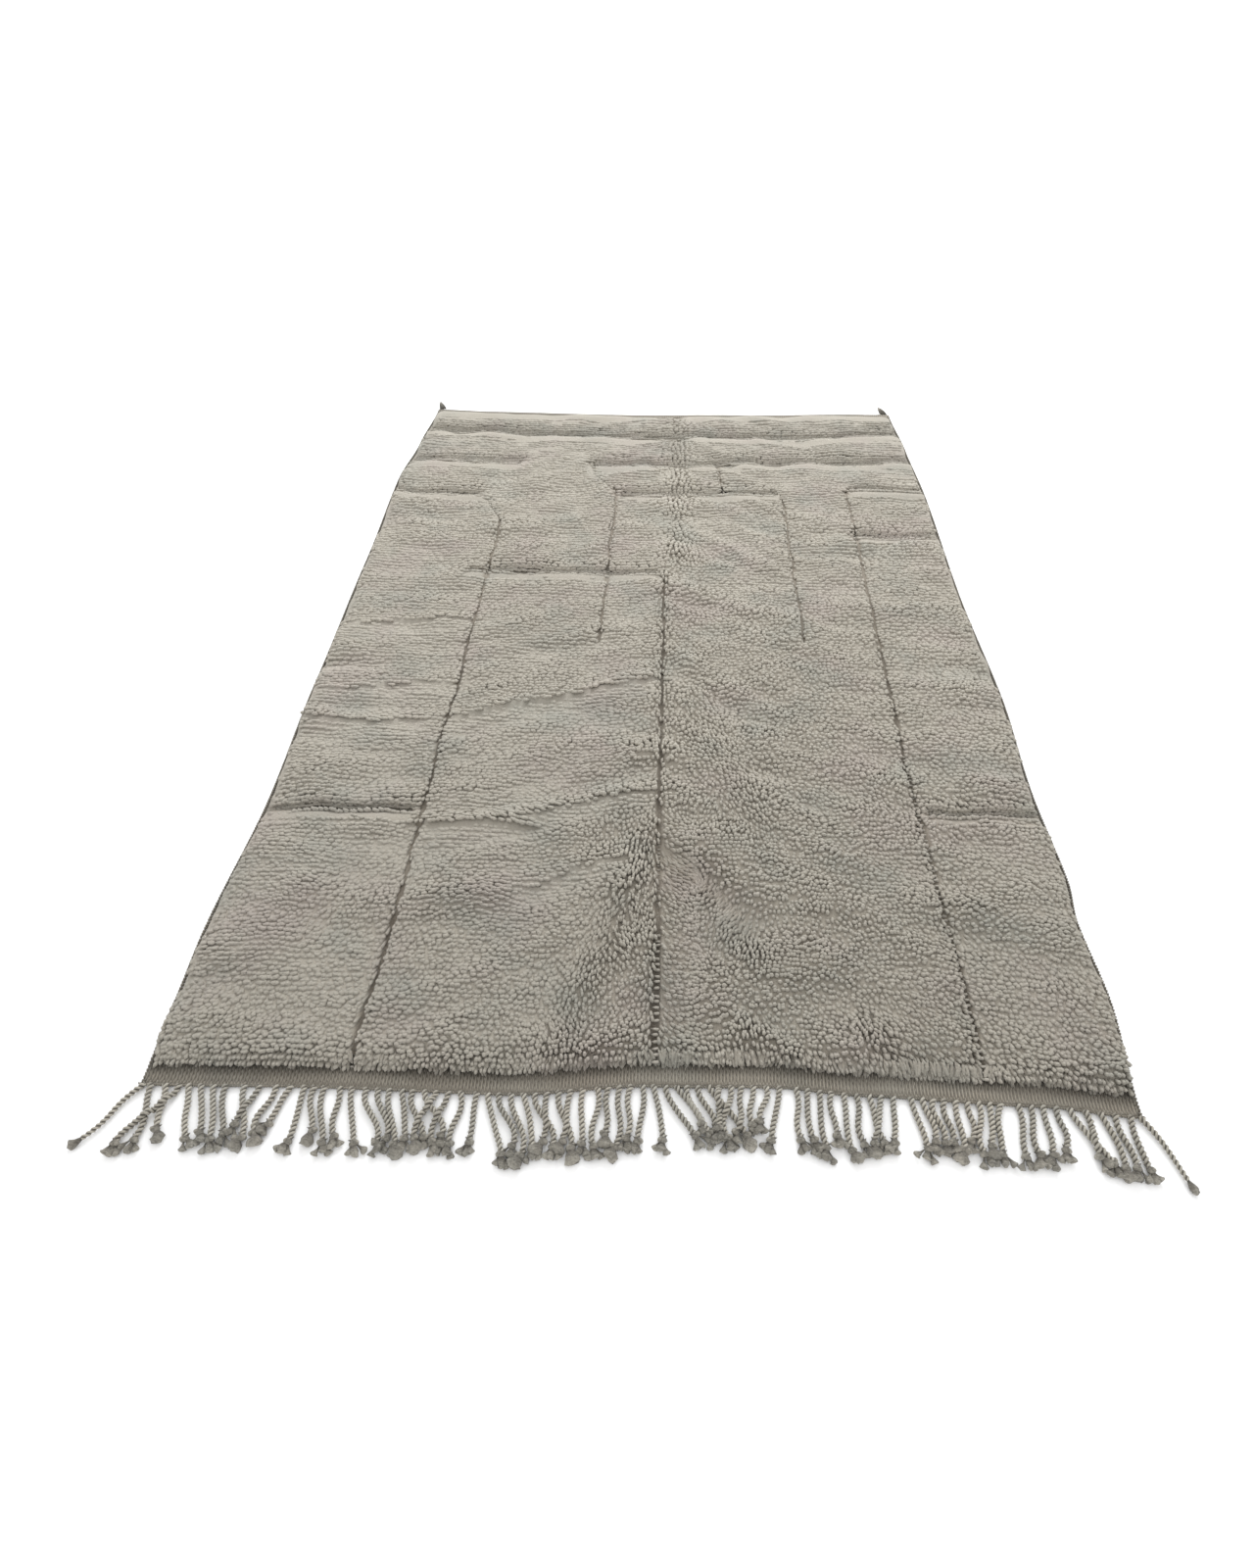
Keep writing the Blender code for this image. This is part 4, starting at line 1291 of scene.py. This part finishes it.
def weft_rungs():
    chance = random.Random(RUNG_SEED)
    rungs = []
    for k, groove in enumerate(LENGTHWISE):
        for start, end in groove.runs:
            y = max(start, near_end(middle_of(groove, start)) + NEAR_BAND - 0.004)
            while y < end:
                rung = BARE if y < BARE_UNTIL.get(k, -RUG_LENGTH) else NARROW
                reach = rung.reach * mixed(0.9, 1.1, chance.random())
                place = (middle_of(groove, y) - reach / 2, y, rung.height)
                turn = (LYING, 0.0, math.radians(90.0) + 0.35 * (chance.random() - 0.5))
                size = (rung.width, rung.depth, reach)
                rungs.append(Lobe(place, turn, size, STRAIGHT, rung.tone))
                y += rung.pitch * mixed(0.85, 1.15, chance.random())
    groove = CROSSWISE[0]
    left = side(groove.places[0][1], -1) + PICK_INSETS[0]
    right = side(groove.places[0][1], 1) - PICK_INSETS[1]
    for start, end in groove.runs:
        for rank in (-1, 0, 1):
            for i in range(round((end - start) / PICK_PITCH)):
                x = start + PICK_PITCH * i
                if left < x < right:
                    y = middle_of(groove, x) + PICK_LINES * rank + PICK_SWING * math.sin(i * 0.9 + rank)
                    turn = (LYING, 0.0, math.radians(90.0) + 0.3 * math.sin(i * 1.7 + rank))
                    tone = mixed(0.70, 0.84, chance.random())
                    rungs.append(Lobe((x, y, PICK_HEIGHT), turn, PICK_SIZE, STRAIGHT, tone))
    return rungs


rungs = grow("weft_rungs", weft_rungs(), weft_wool, Unevenness=0.0004, Grain=0.006)
attach(rungs, ["rug"])


# The woven ends: before the first knots and past the last ones the weaver made a plain band, deeper at the
# near end than at the far one. Its warps stand in close ribs, with painted light on their crowns and painted
# shade between them, and the picks that cross them show as a faint pattern of bricks. Painted shadow
# darkens each band under the pile's edge.
BAND_FOOT = 0.0006
BAND_INSET = 0.002
BAND_LIP = 0.0012
RIB_RISE = 0.0034
RIB_CROWN = 0.80
BRICK_CROWN = 0.20
RIB_LIGHT_AND_SHADE = (1.20, 0.72)
FRONT_EDGE_LIGHT = 1.10

BAND_COLOUR = (0.236, 0.213, 0.175, 1.0)
BAND_WARM = (0.230, 0.200, 0.163, 1.0)
BAND_GREY = (0.196, 0.188, 0.160, 1.0)
BAND_HOLLOW_SHADE = (0.085, 0.076, 0.060, 1.0)

band_wool = wool_material(
    "band_wool",
    (BAND_COLOUR, BAND_WARM, BAND_GREY),
    BAND_HOLLOW_SHADE,
    hollow=(0.75, 0.05, 0.92),
    fibre=(0.0010, 0.0020),
)


def woven_band(name, edge, front, back, height, ribs, picks, shade):
    """A closed flat band along one end of the rug, from its front to its back line off the rug's edge. Its
    ribs are counted with the gaps between them. The shade is the tone of the painted shadow under the pile."""
    mesh_tool = bmesh.new()
    raised, tones = [], []
    sections = []
    for i in range(ribs + 1):
        ring = []
        for j in range(picks + 3):
            top = j <= picks
            x = mixed(-RUG_WIDTH / 2, RUG_WIDTH / 2, i / ribs)
            share = j / picks if top else float(j == picks + 1)
            y = edge(x) + mixed(front, back, share)
            x = mixed(side(y, -1) + BAND_INSET, side(y, 1) - BAND_INSET, i / ribs)
            crown = (RIB_CROWN if i % 2 == 0 else 0.0) + (BRICK_CROWN if (i // 2 + j) % 2 == 0 else 0.0)
            crown *= mixed(0.55, 1.25, 0.5 + 0.5 * patchy(x * 110, y * 110, 1.0))
            low = BAND_LIP if j in (0, picks) else 0.0
            z = height - low + RIB_RISE * (crown - 0.4) if top else BAND_FOOT
            ring.append(mesh_tool.verts.new((x, y, z)))
            raised.append(crown)
            # Darker towards the left end of the band, in patches
            side_tone = mixed(0.87, 1.10, eased((x + 0.55) / 0.50)) + 0.12 * patchy(x / 0.03, y / 0.012, 5.0)
            # Painted shadow under the pile's edge, easing to painted light at the band's front edge, and
            # painted light and shade on alternate ribs
            under_pile_shadow = mixed(FRONT_EDGE_LIGHT, shade, eased(share * 1.5 - 0.25))
            tones.append(under_pile_shadow * side_tone * RIB_LIGHT_AND_SHADE[i % 2])
        sections.append(ring)
    for one, other in zip(sections, sections[1:]):
        for j in range(len(one)):
            after = (j + 1) % len(one)
            mesh_tool.faces.new((one[j], other[j], other[after], one[after]))
    mesh_tool.faces.new(sections[0])
    mesh_tool.faces.new(sections[-1][::-1])
    bmesh.ops.recalc_face_normals(mesh_tool, faces=mesh_tool.faces[:])
    band = finished(name, mesh_tool, band_wool)
    set_strands(band.data, raised, tones)
    return band


for band in (
    woven_band("near_band", near_end, 0.000, NEAR_BAND + 0.006, 0.0050, ribs=576, picks=8, shade=0.34),
    woven_band("far_hem", far_end, -FAR_HEM - 0.008, 0.000, 0.0074, ribs=430, picks=8, shade=0.92),
):
    attach(band, ["rug"])


# The selvedges: the outermost warps of each side, overcast with wool while the rug was on the loom. They
# make a firm round edge as thick as a pencil, with a stitch every few millimetres.
SELVEDGE_PITCH = 0.0062
SELVEDGE_INSET = 0.0050
SELVEDGE_HEIGHT = 0.0044
SELVEDGE_ENDS = 0.003
SELVEDGE_STITCH = (0.0038, 0.0036, 0.0088)
SELVEDGE_SLANT = math.radians(72.0)
SELVEDGE_SEED = 43


def selvedge(sign):
    chance = random.Random(SELVEDGE_SEED + sign)
    stitches = []
    start = near_end(sign * RUG_WIDTH / 2) + SELVEDGE_ENDS
    end = far_end(sign * RUG_WIDTH / 2) - SELVEDGE_ENDS
    count = round(RUG_LENGTH / SELVEDGE_PITCH)
    for i in range(count + 1):
        y = mixed(start, end, i / count)
        place = (side(y, sign) - sign * SELVEDGE_INSET, y, SELVEDGE_HEIGHT)
        turn = (LYING, 0.0, sign * SELVEDGE_SLANT + 0.12 * (chance.random() - 0.5))
        tone = mixed(0.60, 0.85, chance.random())
        stitches.append(Lobe(place, turn, SELVEDGE_STITCH, (0.0, 0.0, -0.0006), tone))
    return stitches


for label, sign in (("selvedge_left", -1), ("selvedge_right", 1)):
    edge_cord = grow(label, selvedge(sign), band_wool, Unevenness=0.0004, Grain=0.006)
    attach(edge_cord, ["rug"])


# The fringe: the near end's warps, gathered by a twined cord along the cloth's edge and plied in pairs into
# 81 cords. Each ends in a tight knot and a ball or a flared tuft of loose fluff; the outermost two run out
# long and thin. They lie on the floor in bunches, and some cross their neighbours.
GAP = 0.0003
STRIP_DEPTH = 0.0050
STAGGER = 0.025
CORD_RADIUS = 0.0056
CORD_POINTS = 12
CORD_STEP = 0.00200
CORD_TURN = 0.0155
KNOT_SHARE = 0.98
OVER_LIFT = 0.0062
FLOOR_GAP = 0.0003
PLAIN_FROM = 0.785
CORD_SWAY = 0.0050
CORD_BEND = 0.0042
CORD_SIDES = 8
FRINGE_SEED = 57

CORD_COLOUR = (0.385, 0.362, 0.310, 1.0)
CORD_WARM = (0.385, 0.346, 0.290, 1.0)
CORD_GREY = (0.325, 0.318, 0.282, 1.0)
CORD_HOLLOW_SHADE = (0.070, 0.062, 0.050, 1.0)

cord_colours = (CORD_COLOUR, CORD_WARM, CORD_GREY)
cord_wool = wool_material(
    "cord_wool", cord_colours, CORD_HOLLOW_SHADE, hollow=(0.62, 0.12, 0.95), fibre=(0.0009, 0.0030)
)
fluff_wool = wool_material(
    "fluff_wool", cord_colours, CORD_HOLLOW_SHADE, hollow=(1.00, 0.45, 0.80), fibre=(0.0012, 0.0060), fluff=3.0
)

# The bunches from left to right: where their cords start, how far the lean shifts their ends, how much the
# spread widens or gathers them, and the order of the ends where cords cross
Bunch = namedtuple("Bunch", "cords first last lean spread length ends", defaults=((),))
BUNCHES = [
    Bunch(1, -0.789, -0.789, -0.066, 1.00, 0.088),
    Bunch(3, -0.779, -0.733, -0.013, 1.20, 0.088, (1, 2, 0)),
    Bunch(4, -0.718, -0.658, 0.025, 0.92, 0.086),
    Bunch(4, -0.628, -0.552, -0.006, 0.70, 0.076, (1, 0, 2, 3)),
    Bunch(2, -0.531, -0.514, 0.008, 1.80, 0.086),
    Bunch(2, -0.498, -0.474, 0.016, 0.60, 0.088),
    Bunch(1, -0.454, -0.454, 0.024, 1.00, 0.084),
    Bunch(9, -0.430, -0.279, 0.016, 0.74, 0.080, (0, 1, 2, 3, 5, 7, 4, 6, 8)),
    Bunch(1, -0.252, -0.252, 0.000, 1.00, 0.076),
    Bunch(9, -0.235, -0.083, 0.020, 0.80, 0.088, (0, 1, 2, 3, 5, 4, 7, 6, 8)),
    Bunch(5, -0.060, 0.012, -0.003, 0.95, 0.090),
    Bunch(1, 0.030, 0.030, 0.016, 1.00, 0.088),
    Bunch(4, 0.049, 0.101, 0.036, 0.62, 0.070),
    Bunch(4, 0.118, 0.172, 0.008, 0.80, 0.078, (3, 0, 1, 2)),
    Bunch(2, 0.190, 0.210, -0.008, 0.60, 0.060),
    Bunch(1, 0.232, 0.232, -0.018, 1.00, 0.086),
    Bunch(5, 0.258, 0.334, 0.001, 1.00, 0.084),
    Bunch(4, 0.354, 0.412, -0.004, 0.80, 0.078, (0, 2, 1, 3)),
    Bunch(9, 0.440, 0.581, -0.002, 0.80, 0.074),
    Bunch(4, 0.607, 0.667, -0.006, 1.05, 0.080),
    Bunch(5, 0.687, 0.780, 0.012, 0.74, 0.084, (1, 0, 2, 3, 4)),
    Bunch(1, 0.793, 0.793, 0.040, 1.00, 0.092),
]

# A cord: its points from the cloth to the knot, whether it is free of a knot, and whether it lies over the
# others
Cord = namedtuple("Cord", "points plain over")


def fringe_cords():
    chance = random.Random(FRINGE_SEED)
    cords = []
    for bunch in BUNCHES:
        middle = (bunch.first + bunch.last) / 2
        pitch = (bunch.last - bunch.first) / max(bunch.cords - 1, 1)
        for i in range(bunch.cords):
            root = bunch.first + pitch * i
            place = bunch.ends[i] if bunch.ends else i
            tip = middle + bunch.lean + (bunch.first + pitch * place - middle) * bunch.spread
            length = bunch.length + 0.006 - STAGGER * (0.4 * (i % 2) + 0.6 * chance.random())
            plain = abs(root) > PLAIN_FROM
            sway = CORD_SWAY * (chance.random() - 0.5) * 2
            bend = CORD_BEND * (chance.random() - 0.5) * 2
            reach = 0.95 if plain else KNOT_SHARE
            start = near_end(root) - GAP - STRIP_DEPTH + 0.002
            points = []
            for k in range(CORD_POINTS):
                share = reach * k / (CORD_POINTS - 1)
                x = root + (tip - root) * (share if plain else eased(share))
                x += sway * math.sin(math.pi * share) + bend * math.sin(math.tau * share)
                points.append(Vector((x, start - (length + 0.002) * share, CORD_RADIUS + FLOOR_GAP)))
            cords.append(Cord(points, plain, place < i))
    floor_points = [point.copy() for cord in cords if not cord.over for point in cord.points]
    for cord in cords:
        for point in cord.points:
            if cord.over:
                gap = min(math.hypot(point.x - other.x, point.y - other.y) for other in floor_points)
                point.z += OVER_LIFT * eased((0.0115 - gap) / 0.007)
    return cords


def cord_tree():
    """Lays a two-ply cord along each line of points, and makes them all one mesh."""
    tree, given, result = new_group(
        "GeometryNodeTree",
        "two_ply_cord",
        [
            ("Lines", "NodeSocketGeometry", None),
            ("Step", "NodeSocketFloat", 0.0015),
            ("Turn Length", "NodeSocketFloat", 0.010),
            ("Wool", "NodeSocketMaterial", None),
        ],
        [("Geometry", "NodeSocketGeometry")],
    )
    curve = put(tree, "GeometryNodeMeshToCurve", (), {0: given.outputs["Lines"]}).outputs[0]
    curve = put(tree, "GeometryNodeCurveSplineType", {"spline_type": "CATMULL_ROM"}, {0: curve}).outputs[0]
    inputs = {0: curve, 3: given.outputs["Step"]}
    curve = put(tree, "GeometryNodeResampleCurve", {"mode": "LENGTH"}, inputs).outputs[0]
    gone = put(tree, "GeometryNodeSplineParameter").outputs["Length"]
    turns = reckon(tree, "DIVIDE", gone, given.outputs["Turn Length"])
    twist = reckon(tree, "MULTIPLY_ADD", turns, math.tau, stored(tree, "phase", "FLOAT"))
    curve = put(tree, "GeometryNodeSetCurveTilt", (), {"Curve": curve, "Tilt": twist}).outputs[0]

    # The section of the two plies side by side: a ring of points, drawn in at its waist
    inputs = {0: CORD_SIDES, 4: 1.0}
    ring = put(tree, "GeometryNodeCurvePrimitiveCircle", {"mode": "RADIUS"}, inputs).outputs[0]
    index = put(tree, "GeometryNodeInputIndex").outputs[0]
    swing = reckon(tree, "COSINE", reckon(tree, "MULTIPLY", index, 2 * math.tau / CORD_SIDES))
    # The raised share: 1 on the plies, 0 at the waist, where the cord wool paints shade between them
    ring = keep(tree, ring, "raised", reckon(tree, "MULTIPLY_ADD", swing, 0.5, 0.5), "FLOAT")
    place = put(tree, "GeometryNodeInputPosition").outputs[0]
    waist = reckon(tree, "MULTIPLY_ADD", swing, 0.23, 0.77)
    ring = move(tree, ring, Position=vector_step(tree, "SCALE", place, scale=waist))

    girth = stored(tree, "girth", "FLOAT")
    inputs = {"Curve": curve, "Profile Curve": ring, "Scale": girth, "Fill Caps": True}
    cords = put(tree, "GeometryNodeCurveToMesh", (), inputs).outputs[0]
    cords = keep(tree, cords, "fibre", place)
    cords = put(tree, "GeometryNodeRealizeInstances", (), {0: cords}).outputs[0]
    hand_over(tree, cords, given, result)
    return tree


CORD_TREE = cord_tree()


def lay_cords(name, cords, wool, **values):
    """One object with a twisted cord along each row of points. A girth goes with each point."""
    chance = random.Random(name)
    points, edges, girths, phases, tones = [], [], [], [], []
    for row, row_girths in cords:
        first = len(points)
        points += [tuple(point) for point in row]
        edges += [(first + k, first + k + 1) for k in range(len(row) - 1)]
        girths += row_girths
        phases += [chance.random() * math.tau] * len(row)
        tones += [mixed(0.88, 1.10, chance.random())] * len(row)
    mesh = bpy.data.meshes.new(name)
    mesh.from_pydata(points, edges, [])
    for label, column in (("girth", girths), ("phase", phases), ("tone", tones)):
        set_values(mesh, label, column)
    thing = bpy.data.objects.new(name, mesh)
    return made_by_nodes(thing, CORD_TREE, {"Wool": wool, **values}, ("girth", "phase"))


def cord_girths(cord):
    if cord.plain:
        return [CORD_RADIUS * mixed(0.95, 0.76, k / (CORD_POINTS - 1)) for k in range(CORD_POINTS)]
    return [CORD_RADIUS * (0.86 if k == CORD_POINTS - 1 else 1.0) for k in range(CORD_POINTS)]


def lying(middle, heading, size, share, tone, tip=90.0):
    """A lobe lying along a heading, with the given share of its length behind its middle."""
    back = size[2] * share
    place = (middle[0] - math.sin(heading) * back, middle[1] + math.cos(heading) * back, middle[2])
    return Lobe(place, (math.radians(tip), 0.0, heading), size, STRAIGHT, tone)


TWINE_PITCH = 0.0042
TWINE_HEIGHT = 0.0036
TWINE_SLANT = math.radians(52.0)
TWINE_STITCH = (0.0023, 0.0031, 0.0078)


def twined_edge():
    """The cord twined along the cloth's edge, from which the fringe hangs, in slanting stitches."""
    chance = random.Random(FRINGE_SEED + 1)
    stitches = []
    count = round(RUG_WIDTH / TWINE_PITCH)
    for i in range(count + 1):
        x = mixed(-RUG_WIDTH / 2, RUG_WIDTH / 2, i / count)
        y = near_end(x) - GAP - STRIP_DEPTH / 2
        heading = TWINE_SLANT + 0.15 * (chance.random() - 0.5)
        tone = mixed(0.85, 1.1, chance.random())
        stitches.append(lying((x, y, TWINE_HEIGHT), heading, TWINE_STITCH, 0.5, tone))
    return stitches


def cord_end(cord):
    """Where a cord's knot sits, and the heading of its last stretch."""
    before, last = cord.points[-2], cord.points[-1]
    return last, math.atan2(last.x - before.x, before.y - last.y)


KNOT_TURN = (0.0070, 0.0060, 0.0164)
KNOT_LOOP = (0.0048, 0.0068, 0.0184)
KNOT_RISE = 0.0006


def fringe_knots(cords):
    """The overhand knot at each cord's end: the cord's own turn, and the loop drawn tight across it."""
    chance = random.Random(FRINGE_SEED + 2)
    knots = []
    for cord in cords:
        if not cord.plain:
            middle, heading = cord_end(cord)
            slant = math.copysign(mixed(0.8, 1.25, chance.random()), chance.random() - 0.5)
            centre = (middle.x, middle.y, middle.z + KNOT_RISE)
            knots.append(lying(centre, heading, KNOT_TURN, 0.5, 0.80))
            knots.append(lying(centre, heading + slant, KNOT_LOOP, 0.5, 0.94))
    return knots


# The fluff: how many ends are full, the width of a full and a small one, and their length, the two flared
# lobes beside a small one, and the thin end of a plain cord
FULL_SHARE = 0.24
FULL_GIRTH = (0.0120, 0.0142)
SMALL_GIRTH = (0.0066, 0.0086)
BALL_LENGTH = (0.0180, 0.0225)
BALL_RISE = 0.0012
FLARE_SECTION = (0.0096, 0.0050)
FLARE_LENGTH = (0.0190, 0.0270)
THIN_END = (0.0066, 0.0052, 0.0270)


def fringe_balls(cords):
    """The cut ends beyond each knot: a full lobe with two flatter ones that flare out beside it. A few are
    combed out to one large ball of fluff."""
    chance = random.Random(FRINGE_SEED + 3)
    balls, points = [], []
    for cord in cords:
        middle, heading = cord_end(cord)
        if cord.plain:
            balls.append(lying((middle.x, middle.y, 0.0058), heading, THIN_END, 0.25, 0.86))
            continue
        full = chance.random() < FULL_SHARE
        heading += 0.9 * (chance.random() - 0.5)
        girth = mixed(*(FULL_GIRTH if full else SMALL_GIRTH), chance.random())
        size = (girth, girth * 0.74, mixed(*BALL_LENGTH, chance.random()) * (1.12 if full else 1.0))
        centre = (middle.x, middle.y, middle.z + BALL_RISE)
        tone = mixed(0.72, 1.04, chance.random())
        balls.append(lying(centre, heading, size, -0.06, tone, tip=mixed(88.0, 98.0, chance.random())))
        for sign in () if full else (-1, 1):
            turn = heading + sign * mixed(0.35, 0.75, chance.random())
            size = (*FLARE_SECTION, mixed(*FLARE_LENGTH, chance.random()))
            tip = mixed(90.0, 99.0, chance.random())
            points.append(lying(centre, turn, size, -0.08, tone * 0.95, tip=tip))
    return balls, points


cords = fringe_cords()
balls, points = fringe_balls(cords)
fringe_pieces = [
    grow("twined_edge", twined_edge(), band_wool, Unevenness=0.0003, Grain=0.006),
    lay_cords(
        "fringe_cords",
        [(cord.points, cord_girths(cord)) for cord in cords],
        cord_wool,
        Step=CORD_STEP,
        **{"Turn Length": CORD_TURN},
    ),
    grow("fringe_knots", fringe_knots(cords), fluff_wool, Sides=6, Rings=5, Unevenness=0.0012, Grain=0.005),
    grow("fringe_balls", balls, fluff_wool, Sides=9, Rings=7, Unevenness=0.0055, Grain=0.009),
    grow(
        "fringe_points",
        points,
        fluff_wool,
        Rings=5,
        Fullness=0.28,
        Unevenness=0.0024,
        **{"Root Width": 0.35},
    ),
]
for piece in fringe_pieces:
    attach(piece, ["fringe"])


# The corner tufts: at both far corners the outermost warps, too short to weave on, are bound together and
# end in a small pointed brush.
CORNER_LENGTH = 0.052
CORNER_WIDTH = 0.028
CORNER_INSET = 0.014
CORNER_LEAN = 0.018
CORNER_STRANDS = 13
CORNER_RISE = (0.0040, 0.0045)
CORNER_SECTION = (0.0042, 0.0040)
CORNER_TILT = math.radians(80.0)
CORNER_TONE = 0.72
CORNER_SEED = 71


def corner_strands(sign):
    chance = random.Random(CORNER_SEED + sign)
    x = side(far_end(sign * RUG_WIDTH / 2), sign) - sign * CORNER_INSET
    start = max(far_end(x - CORNER_WIDTH / 2), far_end(x + CORNER_WIDTH / 2)) + GAP
    strands = []
    for i in range(CORNER_STRANDS):
        across = (i / (CORNER_STRANDS - 1) - 0.5) * CORNER_WIDTH * 0.72
        length = CORNER_LENGTH * mixed(0.72, 1.0, chance.random()) * (1.0 - 12.0 * abs(across))
        goal = -CORNER_LEAN + 0.003 * (chance.random() - 0.5)
        heading = math.pi - math.atan2(goal - across, length)
        place = (x + across, start, CORNER_RISE[0] + CORNER_RISE[1] * chance.random())
        turn = (CORNER_TILT, 0.0, heading)
        strands.append(Lobe(place, turn, (*CORNER_SECTION, length), STRAIGHT, CORNER_TONE))
    return strands


brush_looks = {"Sides": 6, "Rings": 6, "Fullness": 1.0, "Unevenness": 0.0008}
for label, sign in (("corner_tuft_left", -1), ("corner_tuft_right", 1)):
    brush = grow(label + "_strands", corner_strands(sign), fluff_wool, **brush_looks)
    attach(brush, [label])


# The floor and the light of a photographer's studio: a seamless white floor, an even white surround, and one
# large soft lamp behind the far end, which rakes over the pile towards the camera.
FLOOR_SIZE = 90.0
FLOOR_DROP = 0.0005
FLOOR_COLOUR = (0.95, 0.95, 0.95, 1.0)
SURROUND = 1.14
LAMP_PLACE = (0.3, 4.4, 2.9)
LAMP_AIM = (0.0, 0.15, 0.0)
LAMP_SIZE = (4.0, 2.4)
LAMP_POWER = 265.0
LAMP_COLOUR = (0.97, 0.99, 1.0)

floor_mesh = bpy.data.meshes.new("floor")
half_floor = FLOOR_SIZE / 2
floor_mesh.from_pydata(
    [(sx * half_floor, sy * half_floor, -FLOOR_DROP) for sx, sy in ((-1, -1), (1, -1), (1, 1), (-1, 1))],
    [],
    [(0, 1, 2, 3)],
)
floor_paint = bpy.data.materials.new("floor_paint")
floor_paint.use_nodes = True
floor_shader = floor_paint.node_tree.nodes["Principled BSDF"]
floor_shader.inputs["Base Color"].default_value = FLOOR_COLOUR
floor_shader.inputs["Roughness"].default_value = 0.9
floor_shader.inputs["Specular IOR Level"].default_value = 0.1
floor_mesh.materials.append(floor_paint)
floor = bpy.data.objects.new("floor", floor_mesh)
bpy.context.scene.collection.objects.link(floor)

surround = bpy.data.worlds.new("surround")
surround.use_nodes = True
surround.node_tree.nodes["Background"].inputs["Color"].default_value = (1.0, 1.0, 1.0, 1.0)
surround.node_tree.nodes["Background"].inputs["Strength"].default_value = SURROUND
bpy.context.scene.world = surround

lamp_data = bpy.data.lights.new("window_lamp", "AREA")
lamp_data.shape = "RECTANGLE"
lamp_data.size, lamp_data.size_y = LAMP_SIZE
lamp_data.energy = LAMP_POWER
lamp_data.color = LAMP_COLOUR
lamp = bpy.data.objects.new("window_lamp", lamp_data)
lamp.location = LAMP_PLACE
lamp.rotation_euler = (Vector(LAMP_AIM) - Vector(LAMP_PLACE)).to_track_quat("-Z", "Y").to_euler()
bpy.context.scene.collection.objects.link(lamp)

bpy.context.scene.view_settings.view_transform = "Standard"
bpy.context.scene.view_settings.look = "None"
